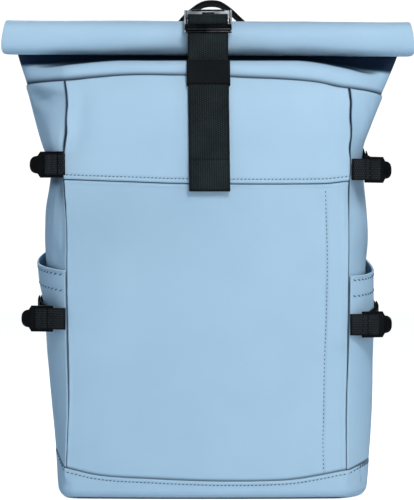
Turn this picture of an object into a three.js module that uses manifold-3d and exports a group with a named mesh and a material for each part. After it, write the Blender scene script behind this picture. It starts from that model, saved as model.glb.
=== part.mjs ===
// A rolltop backpack of coated fabric, standing filled on its flat base.
// Millimetres, +Z up, the front faces -Y, and the origin is the middle of the base on the floor.
// The shell is one set of sections up the bag, cut into the panels that are sewn together.
// Along the girth, `at` runs 0..1 over the front (left to right), 1..2 over the right side (front to back),
// 2..3 over the back (right to left) and 3..4 over the left side (back to front).
import * as THREE from "three";
import { mergeVertices } from "three/addons/utils/BufferGeometryUtils.js";
import Module from "manifold-3d";

const wasm = await Module();
wasm.setup();

// The shell
const bagHeight = 449; // floor to the top of the roll
const frontWidth = 264; // front panel, seam to seam
const girthWidth = 312; // side to side at the fullest height
const backWidth = 290; // back panel, seam to seam
const bagDepth = 130; // front seams to back panel, with the crown of the front in front of that
const wall = 1.5; // coated fabric
const seamGap = 0.3; // between two panels that are sewn together
const lapGap = 0.5; // between two panels of which one lies over the other
const lap = 6; // how far one panel's edge runs under the next
const baseEdge = 10; // radius between the base's rim and its flat bottom
const frontSeamHeight = 295; // seam between the two front panels
const lapEase = 36; // height over which the upper front panel comes down to the shell

// The roll
const rollWidth = 390;
const rollHeight = 33;
const rollDepth = 37;
const rollSheet = 2.6; // front and back layers of fabric together
const rollPitch = 3.4; // from one turn to the next
const rollTurns = 2.6;
const rollForward = 9; // the roll's middle, in front of the bag's middle
const rollTilt = 0.3; // degrees, the left end higher
const collarWall = 1.0;
const collarWidth = 367; // flattened, where it goes into the roll

// The bottle pockets
const pocketWall = 1.3;
const pocketHeight = 212; // of the left one's mouth at the front seam

// The closure strap, the loop to carry by and the hook
const strapWidth = 38;
const strapThick = 1.5;
const strapGap = 0.4;
const strapHem = 29; // folded end of the strap
const strapDrop = 7; // the strap's end, below the front seam
const keeperWidth = 21;
const keeperUp = 9.5; // its middle, above where the strap leaves the front
const keeperThick = 0.9;
const hookWidth = 45;
const hookLength = 32;
const hookThick = 2.2;
const hookLean = 43; // degrees from level
const hookBar = 3.2;
const loopSpan = 106;
const loopRise = 23; // above the roll
const loopWidth = 20;
const loopThick = 3;
const loopLean = 12; // degrees that the loop's webbing faces forwards
const loopSewn = 12; // its feet, below the top of the back
const loopForward = 9; // its crest, in front of where its feet leave the back
const loopAside = 4; // its crest, right of the middle

// The compression straps
const sideWebWidth = 20;
const sideWebThick = 1.2;
const sideTail = 34;
const leftUpperStrap = 311.5; // height of each strap at the front seam
const rightUpperStrap = 307;
const leftLowerStrap = 168;
const rightLowerStrap = 162.5;
const upperClimb = 18; // from the front seam to the back seam
const lowerClimb = 20;
const anchorRun = 14; // from the front seam to the buckle's first bar
const lockStalk = 2; // how far a buckle right on the seam stands off it on its loop
const buckleThick = 3;
const buckleBar = 3;
const buckleSlot = 3.7;
const buckleRail = 2.3;
const tabLength = 10;

// The padded back and the shoulder straps
const backPadThick = 12;
const backPadWidth = 232;
const backPadLow = 60;
const backPadHigh = 362;
const padThick = 12;
const padWidth = 62;
const shoulderWebWidth = 25;
const shoulderTail = 70;
const shoulderClear = 2.6; // from the back pad up to where the shoulder straps start
const padToLock = 9; // from a shoulder pad's end to its buckle's first bar

// Sections of the shell. Shares: rise of bagHeight; left and right of half girthWidth; seamLeft and seamRight
// of half frontWidth; front, crown and back of half bagDepth; backSeam of half backWidth.
const sections = [
  { rise: 0.0, left: 0.885, right: 0.94, seamLeft: 1.01, seamRight: 0.985, front: 0.85, crown: 0.1, back: 0.94, backSeam: 0.94 },
  { rise: 0.025, left: 0.9, right: 0.957, seamLeft: 1.006, seamRight: 0.98, front: 0.88, crown: 0.13, back: 0.965, backSeam: 0.95 },
  { rise: 0.1, left: 0.914, right: 0.97, seamLeft: 0.996, seamRight: 0.976, front: 0.9, crown: 0.17, back: 0.985, backSeam: 0.965 },
  { rise: 0.19, left: 0.938, right: 0.973, seamLeft: 0.985, seamRight: 0.976, front: 0.91, crown: 0.2, back: 1.0, backSeam: 0.98 },
  { rise: 0.285, left: 0.955, right: 0.97, seamLeft: 0.99, seamRight: 0.985, front: 0.92, crown: 0.215, back: 1.0, backSeam: 1.0 },
  { rise: 0.38, left: 0.968, right: 0.965, seamLeft: 0.996, seamRight: 0.994, front: 0.923, crown: 0.215, back: 1.0, backSeam: 1.0 },
  { rise: 0.475, left: 0.987, right: 0.966, seamLeft: 1.0, seamRight: 0.998, front: 0.923, crown: 0.215, back: 1.0, backSeam: 1.0 },
  { rise: 0.54, left: 1.0, right: 0.98, seamLeft: 1.0, seamRight: 0.998, front: 0.923, crown: 0.2, back: 1.0, backSeam: 1.0 },
  { rise: 0.6, left: 0.995, right: 0.97, seamLeft: 1.008, seamRight: 0.997, front: 0.915, crown: 0.185, back: 1.0, backSeam: 1.0 },
  { rise: 0.655, left: 0.968, right: 0.952, seamLeft: 1.02, seamRight: 1.0, front: 0.91, crown: 0.17, back: 1.0, backSeam: 1.0 },
  { rise: 0.693, left: 0.962, right: 0.94, seamLeft: 1.022, seamRight: 1.005, front: 0.9, crown: 0.165, back: 0.99, backSeam: 1.0 },
  { rise: 0.735, left: 1.01, right: 0.948, seamLeft: 1.015, seamRight: 1.01, front: 0.89, crown: 0.16, back: 0.98, backSeam: 1.0 },
  { rise: 0.77, left: 1.04, right: 0.985, seamLeft: 1.005, seamRight: 1.015, front: 0.87, crown: 0.155, back: 0.955, backSeam: 1.0 },
  { rise: 0.842, left: 1.095, right: 1.068, seamLeft: 1.007, seamRight: 1.005, front: 0.76, crown: 0.155, back: 0.84, backSeam: 1.02 },
  { rise: 0.882, left: 1.13, right: 1.115, seamLeft: 1.025, seamRight: 0.99, front: 0.62, crown: 0.155, back: 0.72, backSeam: 1.05 },
];
// The seams that run round the bag: their height at places along the girth, as shares of the height they follow.
const archSeam = [
  { at: 0, share: 0.871 }, { at: 0.22, share: 0.882 }, { at: 0.43, share: 0.881 }, { at: 0.62, share: 0.877 },
  { at: 0.78, share: 0.873 }, { at: 0.89, share: 0.867 }, { at: 1, share: 0.855 }, { at: 1.5, share: 0.841 },
  { at: 2, share: 0.856 }, { at: 2.5, share: 0.868 }, { at: 3, share: 0.868 }, { at: 3.5, share: 0.864 },
  { at: 4, share: 0.871 },
];
const baseSeam = [
  { at: 0, share: 0.0645 }, { at: 0.12, share: 0.0495 }, { at: 0.3, share: 0.0432 }, { at: 0.5, share: 0.0385 },
  { at: 0.67, share: 0.0381 }, { at: 0.8, share: 0.041 }, { at: 0.9, share: 0.0495 }, { at: 1, share: 0.0601 },
  { at: 1.5, share: 0.079 }, { at: 2, share: 0.075 }, { at: 2.5, share: 0.067 }, { at: 3, share: 0.078 },
  { at: 3.5, share: 0.098 }, { at: 4, share: 0.0645 },
];
const frontSeam = [
  { at: 0, share: 1.011 }, { at: 0.2, share: 1.004 }, { at: 0.43, share: 0.997 }, { at: 0.9, share: 0.997 },
  { at: 1, share: 1.006 },
];
// The bottle pockets' mouths: height at the front seam and at the back seam, and how much of that climb bends up.
const pocketMouths = [
  { side: -1, low: 1, high: 1.108, bend: 0.35 },
  { side: 1, low: 0.976, high: 1.075, bend: 0.76 },
];
// How far the pockets stand off the side panels halfway back, up their height, as shares of their wall.
const pocketSwell = [
  { up: 0, left: 0, right: 0 }, { up: 0.15, left: 0.2, right: 1.1 }, { up: 0.3, left: 0.75, right: 2.1 },
  { up: 0.5, left: 1.5, right: 3 }, { up: 0.65, left: 1.7, right: 4.1 }, { up: 0.8, left: 2.6, right: 4.2 },
  { up: 0.9, left: 4.1, right: 4 }, { up: 1, left: 4.5, right: 3.8 },
];
const crownPower = 2.6; // how flat the front lies between its seams
const sidePower = 2.2; // how round the sides are
const backCrown = 0.05; // of half bagDepth

// The compression straps: the front web's run to the buckle, and degrees from the frontal plane of that web and
// of the buckle.
const compression = [
  { name: "left_upper", side: -1, height: leftUpperStrap, run: -1.25 * sideWebThick, webYaw: 21, buckleYaw: 21, climb: upperClimb, overPocket: false },
  { name: "right_upper", side: 1, height: rightUpperStrap, run: 1.036 * anchorRun, webYaw: 34, buckleYaw: 42, climb: upperClimb, overPocket: false },
  { name: "left_lower", side: -1, height: leftLowerStrap, run: anchorRun, webYaw: 30, buckleYaw: 29, climb: lowerClimb, overPocket: true },
  { name: "right_lower", side: 1, height: rightLowerStrap, run: 0.964 * anchorRun, webYaw: 34, buckleYaw: 34, climb: lowerClimb, overPocket: true },
];

const colours = {
  fabric: new THREE.MeshStandardMaterial({ color: 0x9fc3e0, roughness: 0.55, metalness: 0 }),
  webbing: new THREE.MeshStandardMaterial({ color: 0x24292b, roughness: 0.85, metalness: 0 }),
  plastic: new THREE.MeshStandardMaterial({ color: 0x0b0c0d, roughness: 0.45, metalness: 0 }),
  metal: new THREE.MeshStandardMaterial({ color: 0x3a3c3f, roughness: 0.3, metalness: 1 }),
  mesh: new THREE.MeshStandardMaterial({ color: 0x1b1d1f, roughness: 0.9, metalness: 0 }),
};

const vec = (x, y, z) => new THREE.Vector3(x, y, z);
const radians = THREE.MathUtils.degToRad;
const mix = THREE.MathUtils.lerp;
const ease = (t) => THREE.MathUtils.smoothstep(t, 0, 1);
const along = (count, from, to) => Array.from({ length: count + 1 }, (_, i) => mix(from, to, i / count));

// A smooth curve through a table's rows: `key` is read where `by` is `at`.
function through(rows, by, key, at) {
  let i = rows.findIndex((row) => row[by] > at) - 1;
  if (i === -2) i = rows.length - 2;
  i = Math.max(i, 0);
  const slope = (k) => {
    const a = rows[Math.max(k - 1, 0)];
    const b = rows[Math.min(k + 1, rows.length - 1)];
    return (b[key] - a[key]) / (b[by] - a[by]);
  };
  const span = rows[i + 1][by] - rows[i][by];
  const t = (at - rows[i][by]) / span;
  const bend = t * t * (3 - 2 * t);
  const lift = t * (1 - t) * (1 - t) * span * slope(i) - t * t * (1 - t) * span * slope(i + 1);
  return rows[i][key] * (1 - bend) + rows[i + 1][key] * bend + lift;
}

const archHeight = (at) => bagHeight * through(archSeam, "at", "share", at);
const baseHeight = (at) => bagHeight * through(baseSeam, "at", "share", at);
const frontHeight = (at) => frontSeamHeight * through(frontSeam, "at", "share", at);

// A point of the shell at a place along the girth and a height.
function shellPoint(at, z) {
  const rise = z / bagHeight;
  const share = (key) => through(sections, "rise", key, rise);
  const front = (-share("front") * bagDepth) / 2;
  const back = (share("back") * bagDepth) / 2;
  const part = Math.min(Math.floor(at), 3);
  const t = at - part;
  if (part === 0) {
    const crown = ((share("crown") * bagDepth) / 2) * (1 - Math.abs(2 * t - 1) ** crownPower);
    const x = mix((-share("seamLeft") * frontWidth) / 2, (share("seamRight") * frontWidth) / 2, t);
    return vec(x, front - crown, z);
  }
  const backSeam = (share("backSeam") * backWidth) / 2;
  if (part === 2) {
    const crown = ((backCrown * bagDepth) / 2) * (1 - (2 * t - 1) ** 2);
    return vec(mix(backSeam, -backSeam, t), back + crown, z);
  }
  const side = part === 1 ? 1 : -1;
  const fromFront = part === 1 ? t : 1 - t;
  const seam = ((side > 0 ? share("seamRight") : share("seamLeft")) * frontWidth) / 2;
  const widest = ((side > 0 ? share("right") : share("left")) * girthWidth) / 2;
  const edge = fromFront < 0.5 ? seam : backSeam;
  const x = edge + (widest - edge) * (1 - Math.abs(1 - 2 * fromFront) ** sidePower);
  return vec(side * x, mix(front, back, fromFront), z);
}

const wrap = (at) => ((at % 4) + 4) % 4;

// The way out of the shell there. On a seam it is the mitre of the two panels.
function shellNormal(at, z) {
  const step = 0.01;
  const rise = 0.5;
  const flat = (a) => {
    const across = shellPoint(wrap(a + step), z).sub(shellPoint(wrap(a - step), z));
    const up = shellPoint(wrap(a), z + rise).sub(shellPoint(wrap(a), z - rise));
    return across.cross(up).normalize();
  };
  const nearSeam = Math.abs(at - Math.round(at)) < 2 * step;
  if (!nearSeam) return flat(at);
  const seam = Math.round(at);
  const before = flat(seam - 2.1 * step);
  const after = flat(seam + 2.1 * step);
  const middle = before.clone().add(after).normalize();
  return middle.multiplyScalar(1 / Math.max(middle.dot(after), 0.6));
}

// The shell moved outwards by `out`.
const skin = (at, z, out) => shellPoint(wrap(at), z).addScaledVector(shellNormal(at, z), out);

// A mesh from vertices and triangles, turned so that its faces point out.
function solid(name, points, triangles, material) {
  let volume = 0;
  for (const [a, b, c] of triangles) volume += points[a].dot(points[b].clone().cross(points[c]));
  const turned = volume < 0 ? triangles.map(([a, b, c]) => [a, c, b]) : triangles;
  const geometry = new THREE.BufferGeometry().setFromPoints(points);
  geometry.setIndex(turned.flat());
  geometry.computeVertexNormals();
  const mesh = new THREE.Mesh(geometry, material);
  mesh.name = name;
  return mesh;
}

// A wall between two grids of points. A closed wall goes all the way round, and a floored one ends in a point.
function wallSolid(name, outer, inner, material, { closed = false, floored = false } = {}) {
  const rows = outer.length;
  const cols = outer[0].length;
  const points = [...outer.flat(), ...inner.flat()];
  const triangles = [];
  const outside = (r, c) => r * cols + (closed ? c % cols : c);
  const inside = (r, c) => rows * cols + outside(r, c);
  const quad = (a, b, c, d) => triangles.push([a, b, c], [a, c, d]);
  const spans = closed ? cols : cols - 1;
  for (let r = 0; r < rows - 1; r++)
    for (let c = 0; c < spans; c++) {
      quad(outside(r, c), outside(r, c + 1), outside(r + 1, c + 1), outside(r + 1, c));
      quad(inside(r + 1, c), inside(r + 1, c + 1), inside(r, c + 1), inside(r, c));
    }
  for (let c = 0; c < spans; c++) {
    quad(outside(0, c + 1), outside(0, c), inside(0, c), inside(0, c + 1));
    if (!floored) quad(outside(rows - 1, c), outside(rows - 1, c + 1), inside(rows - 1, c + 1), inside(rows - 1, c));
  }
  if (!closed)
    for (let r = 0; r < rows - 1; r++) {
      quad(outside(r, 0), outside(r + 1, 0), inside(r + 1, 0), inside(r, 0));
      quad(outside(r + 1, cols - 1), outside(r, cols - 1), inside(r, cols - 1), inside(r + 1, cols - 1));
    }
  if (floored) {
    const middle = (grid) => {
      const last = grid[rows - 1];
      return last.reduce((sum, p) => sum.add(p), vec(0, 0, 0)).divideScalar(last.length);
    };
    points.push(middle(outer), middle(inner));
    for (let c = 0; c < spans; c++) {
      triangles.push([outside(rows - 1, c), outside(rows - 1, c + 1), points.length - 2]);
      triangles.push([inside(rows - 1, c + 1), inside(rows - 1, c), points.length - 1]);
    }
  }
  return solid(name, points, triangles, material);
}

// A solid through rings of points, capped at both ends.
function ringSolid(name, rings, material) {
  const count = rings[0].length;
  const points = rings.flat();
  const triangles = [];
  for (let r = 0; r < rings.length - 1; r++)
    for (let c = 0; c < count; c++) {
      const d = (c + 1) % count;
      const [a, b] = [r * count, (r + 1) * count];
      triangles.push([a + c, a + d, b + d], [a + c, b + d, b + c]);
    }
  const last = (rings.length - 1) * count;
  for (let c = 1; c < count - 1; c++) triangles.push([0, c + 1, c], [last, last + c, last + c + 1]);
  return solid(name, points, triangles, material);
}

// The way on at a point of a line, midway between the two stretches that meet there, and their mitre.
function wayAt(line, i) {
  const into = line[i].clone().sub(line[Math.max(i - 1, 0)]).normalize();
  const on = line[Math.min(i + 1, line.length - 1)].clone().sub(line[i]).normalize();
  const way = into.clone().add(on).normalize();
  const mitre = i > 0 && i < line.length - 1 ? 1 / Math.max(into.dot(way), 0.6) : 1;
  return { way, mitre };
}

// Flat webbing along a line of points. `across(i)` is the way its width lies there, square to the line.
function webbing(name, line, width, thick, across, material) {
  const rings = line.map((point, i) => {
    const { way, mitre } = wayAt(line, i);
    const flat = across(i);
    const wide = flat.clone().addScaledVector(way, -flat.dot(way)).normalize();
    const deep = way.clone().cross(wide);
    const corner = (w, d) =>
      point.clone().addScaledVector(wide, (w * width) / 2).addScaledVector(deep, ((d * thick) / 2) * mitre);
    return [corner(-1, -1), corner(1, -1), corner(1, 1), corner(-1, 1)];
  });
  return ringSolid(name, rings, material);
}

// A stretch of the shell's girth and height as a wall from `inner` to `outer` out of the shell.
function panel(name, ats, heights, outer, inner) {
  const rows = heights(ats[0]).length;
  const grid = (out) =>
    Array.from({ length: rows }, (_, r) => ats.map((at) => skin(at, heights(at)[r], out(at, heights(at)[r]))));
  return wallSolid(name, grid(outer), grid(inner), colours.fabric);
}

// Places along a panel's girth, short of its two seams by half the seam gap.
function betweenSeams(from, count, length) {
  const short = seamGap / 2 / length;
  return along(count, from, from + 1).map((at, i, all) => at + (i === 0 ? short : i === all.length - 1 ? -short : 0));
}

const frontCount = 12;
const sideCount = 8;
const backCount = 8;
const frontAts = betweenSeams(0, frontCount, frontWidth);
const rightAts = betweenSeams(1, sideCount, bagDepth);
const backAts = betweenSeams(2, backCount, backWidth);
const leftAts = betweenSeams(3, sideCount, bagDepth);
const flush = () => 0;
const behind = () => -wall;

// Heights up a panel to its top edge, with one where the collar's edge lies behind it.
const toArch = (shares, from, at) => [
  ...shares.map((share) => mix(from, archHeight(at) - 2 * lap, share)), archHeight(at) - lap, archHeight(at),
];
// The side and back panels' rows lie closest where the upper compression straps draw the bag in.
const panelRows = [0, 0.06, 0.14, 0.22, 0.3, 0.38, 0.46, 0.54, 0.6, 0.66, 0.72, 0.77, 0.805, 0.835, 0.87, 0.93, 1];
const shellHeights = (at) => toArch(panelRows, baseHeight(at) - lap, at);

function frontPanels() {
  const proud = (at, z) => (lapGap + wall) * (1 - ease((z - frontHeight(at)) / lapEase));
  const upper = panel(
    "front_upper_panel", frontAts, (at) => toArch(along(6, 0, 1), frontHeight(at), at),
    proud, (at, z) => proud(at, z) - wall,
  );
  const lower = panel(
    "front_pocket_panel", frontAts, (at) => along(8, baseHeight(at) - lap, frontHeight(at) + lap), flush, behind,
  );
  return [upper, lower];
}

function sideAndBackPanels() {
  return [
    panel("side_panel_right", rightAts, shellHeights, flush, behind),
    panel("side_panel_left", leftAts, shellHeights, flush, behind),
    panel("back_panel", backAts, shellHeights, flush, behind),
  ];
}

const girthAts = [
  ...along(frontCount, 0, 1), ...along(sideCount, 1, 2).slice(1),
  ...along(backCount, 2, 3).slice(1), ...along(sideCount, 3, 4).slice(1, -1),
];

// The dished base: a rim that laps over the panels, a rounded edge and a flat bottom.
function basePanel() {
  const face = (out, thick) => {
    const lift = thick ? wall : 0;
    const rim = girthAts.map((at) => skin(at, baseHeight(at), out));
    const arc = along(3, 0, 90).map((angle) =>
      girthAts.map((at) => {
        const inward = shellNormal(at, baseEdge).setZ(0);
        const radius = baseEdge - lift;
        const point = shellPoint(wrap(at), baseEdge).addScaledVector(inward, out);
        point.addScaledVector(inward, -radius * (1 - Math.cos(radians(angle))));
        return point.setZ(lift + radius * (1 - Math.sin(radians(angle))));
      }),
    );
    return [rim, ...arc];
  };
  return wallSolid("base_panel", face(lapGap + wall, false), face(lapGap, true), colours.fabric, { closed: true, floored: true });
}

// The roll's outline: a flattened spiral. Shares of its half depth and half height at an angle from the start.
const rollStart = -12; // degrees, behind the roll, where the collar comes up
const rollShrink = rollPitch / (rollDepth / 2);
const rollShare = (angle) => 1 - (rollShrink * (angle - rollStart)) / 360;
const rollTall = (rollHeight - rollSheet) / (rollShare(90) + rollShare(270));
const rollDeep = (rollDepth - rollSheet) / (rollShare(0) + rollShare(180));
const rollMiddle = bagHeight - rollSheet / 2 - rollShare(90) * rollTall;
const rollPoint = (angle, out = 0) => {
  const way = radians(angle);
  const y = -rollForward + (rollShare(angle) * rollDeep + out) * Math.cos(way);
  return vec(0, y, rollMiddle + (rollShare(angle) * rollTall + out) * Math.sin(way));
};

// The tube of fabric above the panels, flattened at its top where it goes into the roll.
function collar() {
  const tuck = -(wall + 1.6 * lapGap);
  const top = rollPoint(rollStart);
  const slot = (at) => {
    const part = Math.min(Math.floor(at), 3);
    const side = part === 3 ? -1 : 1;
    const half = collarWidth / 2;
    const layer = (rollSheet + 0.4) / 2;
    const place = (x, y) => vec(x, top.y + y, top.z - 0.35 * rollSheet - x * Math.tan(radians(rollTilt)));
    if (part === 0) return place(mix(-0.73, 0.73, at) * half, -layer);
    if (part === 2) return place(mix(0.8, -0.8, at - 2) * half, layer);
    const t = part === 1 ? at - 1 : 4 - at;
    const reach = t < 0.5 ? mix(0.73, 1, 2 * t) : mix(1, 0.8, 2 * t - 1);
    const open = Math.sqrt(1 - (1 - Math.abs(2 * t - 1)) ** 4);
    return place(side * reach * half, layer * open * (t < 0.5 ? -1 : 1));
  };
  const rows = 6;
  const columns = girthAts.map((at) => {
    const low = skin(at, archHeight(at) - lap, tuck);
    const seam = skin(at, archHeight(at), tuck);
    const end = slot(at);
    const climb = end.z - seam.z;
    const upwards = seam.clone().sub(low).normalize();
    const frontness = ease((end.y - seam.y - 10) / 45);
    const drop = mix(0.3, 0.75, frontness) * climb;
    const before = end.clone().lerp(vec(seam.x, seam.y, end.z), 0.2 * (1 - frontness)).add(vec(0, 0, -drop));
    const curve = new THREE.CubicBezierCurve3(seam, seam.clone().addScaledVector(upwards, climb * 0.34), before, end);
    return [low, ...curve.getPoints(rows - 1)];
  });
  const outer = Array.from({ length: rows + 1 }, (_, r) => columns.map((column) => column[r]));
  const inner = outer.map((row, r) =>
    row.map((point, c) => {
      const across = row[(c + 1) % row.length].clone().sub(row[(c + row.length - 1) % row.length]);
      const up = outer[Math.min(r + 1, rows)][c].clone().sub(outer[Math.max(r - 1, 0)][c]);
      return point.clone().addScaledVector(across.cross(up).normalize(), -collarWall);
    }),
  );
  return wallSolid("collar", outer, inner, colours.fabric, { closed: true });
}

// The collar's top, rolled up towards the front. Its ends run wider as it goes over, as the collar does.
function roll() {
  const steps = Math.round(rollTurns * 22);
  const rings = along(steps, rollStart, rollStart + rollTurns * 360).map((angle) => {
    const turned = (angle - rollStart) / 360;
    const half = mix(collarWidth / 2 + 3, rollWidth / 2, ease(turned / 0.65));
    const [inner, outer] = [rollPoint(angle, -rollSheet / 2), rollPoint(angle, rollSheet / 2)];
    const tilt = Math.tan(radians(rollTilt)) * half;
    return [
      vec(-half, inner.y, inner.z + tilt), vec(half, inner.y, inner.z - tilt),
      vec(half, outer.y, outer.z - tilt), vec(-half, outer.y, outer.z + tilt),
    ];
  });
  return ringSolid("roll", rings, colours.fabric);
}

// The height of a bottle pocket's mouth, t running from the front seam to the back.
function pocketTop(side, t) {
  const { low, high, bend } = pocketMouths.find((row) => row.side === side);
  return pocketHeight * (low + (high - low) * mix(t, t * t, bend));
}

// How far a bottle pocket's inner face stands off the side panel.
function pocketOff(side, t, z) {
  const low = baseHeight(side > 0 ? 1 + t : 4 - t);
  const up = THREE.MathUtils.clamp((z - low) / (pocketTop(side, t) - low), 0, 1);
  const swell = through(pocketSwell, "up", side > 0 ? "right" : "left", up);
  return lapGap + pocketWall * swell * Math.sin(Math.PI * t) ** 0.8;
}

function sidePocket(name, side, ats) {
  const fromFront = (at) => (side > 0 ? at - 1 : 4 - at);
  const heights = (at) => along(9, baseHeight(at) + seamGap, pocketTop(side, fromFront(at)));
  const off = (at, z) => pocketOff(side, fromFront(at), z);
  return panel(name, ats, heights, (at, z) => off(at, z) + pocketWall, off);
}

// Ladder locks lie in their own frame: x along from the bar that is sewn on to the tab, y across, z out of it.
const lockPitch = buckleBar + buckleSlot;
const lockSide = 0.5; // between a web's edge and the rail beside it
const webGap = 0.3; // between a web and the bar that it turns round

// A frame of reference for what lies in a buckle's own frame.
function frameAt(origin, way, out) {
  const across = out.clone().cross(way);
  return {
    matrix: new THREE.Matrix4().makeBasis(way, across, out).setPosition(origin),
    point: (e, n) => origin.clone().addScaledVector(way, e).addScaledVector(out, n),
    across,
  };
}

// A frame of two rails and four bars, with a rounded tab beyond the last bar.
function ladderLock(name, frame, webWidth) {
  const half = webWidth / 2 + lockSide + buckleRail;
  const bar = buckleBar / 2;
  const shoulder = 3 * lockPitch + bar;
  const round = 2.5;
  const outline = new THREE.Shape();
  outline.moveTo(-bar + round, -half);
  outline.lineTo(shoulder - round, -half);
  outline.absellipse(shoulder, 0, tabLength, half - round, -Math.PI / 2, Math.PI / 2, false);
  outline.lineTo(shoulder - round, half);
  outline.lineTo(-bar + round, half);
  outline.lineTo(-bar, half - round);
  outline.lineTo(-bar, -half + round);
  outline.closePath();
  const plate = new THREE.ExtrudeGeometry(outline, { depth: buckleThick, bevelEnabled: false, curveSegments: 10 });
  plate.translate(0, 0, -buckleThick / 2);
  let made = asManifold(plate);
  for (const k of [0, 1, 2]) {
    const slot = new THREE.BoxGeometry(buckleSlot, webWidth + 2 * lockSide, 2 * buckleThick);
    slot.translate(k * lockPitch + bar + buckleSlot / 2, 0, 0);
    made = made.subtract(asManifold(slot));
  }
  const mesh = fromManifold(name, made, colours.plastic);
  mesh.applyMatrix4(frame.matrix);
  return mesh;
}

// Spots round a bar's corner, in degrees, for the middle of webbing that turns there.
const turn = (e, n, from, to, thick) =>
  along(2, from, to).map((angle) => {
    const radius = thick / 2 + webGap;
    return [e + radius * Math.cos(radians(angle)), n + radius * Math.sin(radians(angle))];
  });

// Round the bar that is sewn on: out over it and back under it.
const roundBar = (frame, thick, from = 170) =>
  [
    ...(from > 180 ? turn(-buckleBar / 2, -buckleThick / 2, from, 180, thick) : []),
    ...turn(-buckleBar / 2, buckleThick / 2, Math.min(from, 180), 90, thick), ...turn(buckleBar / 2, buckleThick / 2, 90, 0, thick),
    ...turn(buckleBar / 2, -buckleThick / 2, 0, -90, thick),
  ].map(([e, n]) => frame.point(e, n));

// Up through a ladder lock's first slot, over two bars and down through its last slot.
// Where the web runs on under the tab, it comes and goes `flat` against the frame.
function throughLock(frame, thick, flat) {
  const bar = buckleBar / 2;
  const deep = buckleThick / 2;
  const clear = deep + thick / 2 + webGap;
  const tabBar = 3 * lockPitch + bar;
  const come = [[tabBar, -clear - 2.4 * thick], [lockPitch + bar, -clear - thick]];
  const go = [[2 * lockPitch + bar + thick / 2 + webGap, -deep * 0.6], [2 * lockPitch + bar + 2.6, -clear + 0.1], [tabBar, -clear]];
  const spots = [
    ...(flat ? come : []), ...turn(lockPitch - bar, -deep, flat ? 260 : 230, 180, thick),
    ...turn(lockPitch - bar, deep, 180, 90, thick), [lockPitch + bar, clear],
    [1.5 * lockPitch, clear - 0.7], [2 * lockPitch - bar, clear],
    ...turn(2 * lockPitch + bar, deep, 90, 0, thick),
    ...(flat ? go : [[2 * lockPitch + bar + thick / 2 + webGap, -deep], [2 * lockPitch + bar + thick + webGap, -2 * clear]]),
  ];
  return spots.map(([e, n]) => frame.point(e, n));
}

// The middle of upright webbing that rests on what lies `over` the shell there, clear of it over its whole width.
function restOn(at, z, width, over) {
  const here = shellPoint(wrap(at), z);
  const out = shellNormal(at, z).setZ(0).normalize();
  const rise = along(6, z - width / 2, z + width / 2).map((level) => {
    const there = shellPoint(wrap(at), level).sub(here);
    return there.dot(out) + over(level);
  });
  return here.addScaledVector(out, Math.max(...rise));
}

function compressionStrap({ name, side, height, run, webYaw, buckleYaw, climb, overPocket }) {
  const seam = side > 0 ? 1 : 0;
  const at = (t) => (side > 0 ? 1 + t : 4 - t);
  const under = overPocket ? lapGap + pocketWall + strapGap : lapGap + wall + strapGap;
  const way = (yaw) => vec(side * Math.cos(radians(yaw)), Math.sin(radians(yaw)), 0);
  const outOf = (yaw) => vec(side * Math.sin(radians(yaw)), -Math.cos(radians(yaw)), 0);
  const corner = skin(seam, height, 0);
  const half = sideWebThick / 2;
  const ring = buckleThick / 2 + half + webGap;
  const stalk = run > buckleBar ? 0 : lockStalk;
  const bar = corner.clone().addScaledVector(way(webYaw), run).addScaledVector(outOf(webYaw), under + half + ring + stalk);
  const frame = frameAt(bar, way(buckleYaw), outOf(buckleYaw));
  const upright = vec(0, 0, 1);
  const apart = sideWebThick + webGap;
  const start = (layer) =>
    stalk
      ? frame.point(buckleBar / 4 - layer * apart, -ring - stalk)
      : corner.clone().addScaledVector(outOf(webYaw), under + half + layer * apart);
  const anchor = [start(1), ...roundBar(frame, sideWebThick, stalk ? 260 : 170), start(0)];
  const onSide = (t, layer) => {
    const over = (z) => (overPocket ? pocketOff(side, t, z) + pocketWall : 0);
    const z = height + climb * t ** 2;
    return restOn(at(t), z, sideWebWidth + 6, (level) => over(level) + 2 * strapGap + half + layer * (sideWebThick + strapGap));
  };
  const load = [0.985, 0.875, 0.75, 0.625, 0.5, 0.375].map((t) => onSide(t, 0));
  const tail = along(2, 0.375, 0.375 + sideTail / bagDepth).map((t) => onSide(t, 1.3));
  const web = [...load, ...throughLock(frame, sideWebThick, false), ...tail];
  return [
    ladderLock("buckle_" + name, frame, sideWebWidth),
    webbing("anchor_web_" + name, anchor, sideWebWidth, sideWebThick, () => upright, colours.webbing),
    webbing("compression_web_" + name, web, sideWebWidth, sideWebThick, () => upright, colours.webbing),
  ];
}

// The hook's frame lies on the front of the roll's top, leaning back.
const hookSeat = 138; // degrees round the roll
const hookOut = 5.4; // of the frame's middle, off the roll
const hookMiddle = 16.4; // from the lowest bar to where the frame is nearest to the roll
function hookFrame() {
  const way = vec(0, Math.cos(radians(hookLean)), Math.sin(radians(hookLean)));
  const out = vec(0, -Math.sin(radians(hookLean)), Math.cos(radians(hookLean)));
  const seat = rollPoint(hookSeat, rollSheet / 2);
  return frameAt(seat.addScaledVector(out, hookOut).addScaledVector(way, -hookMiddle), way, out);
}

// A plate as a manifold-3d solid.
function asManifold(geometry) {
  const bare = geometry.index ? geometry.toNonIndexed() : geometry.clone();
  bare.deleteAttribute("normal");
  bare.deleteAttribute("uv");
  const merged = mergeVertices(bare, 1e-4);
  return new wasm.Manifold(
    new wasm.Mesh({ numProp: 3, vertProperties: merged.attributes.position.array, triVerts: new Uint32Array(merged.index.array) }),
  );
}

function fromManifold(name, made, material) {
  const { vertProperties, triVerts } = made.getMesh();
  const geometry = new THREE.BufferGeometry();
  geometry.setAttribute("position", new THREE.BufferAttribute(vertProperties, 3));
  geometry.setIndex(new THREE.BufferAttribute(triVerts, 1));
  geometry.computeVertexNormals();
  const mesh = new THREE.Mesh(geometry, material);
  mesh.name = name;
  return mesh;
}

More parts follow.
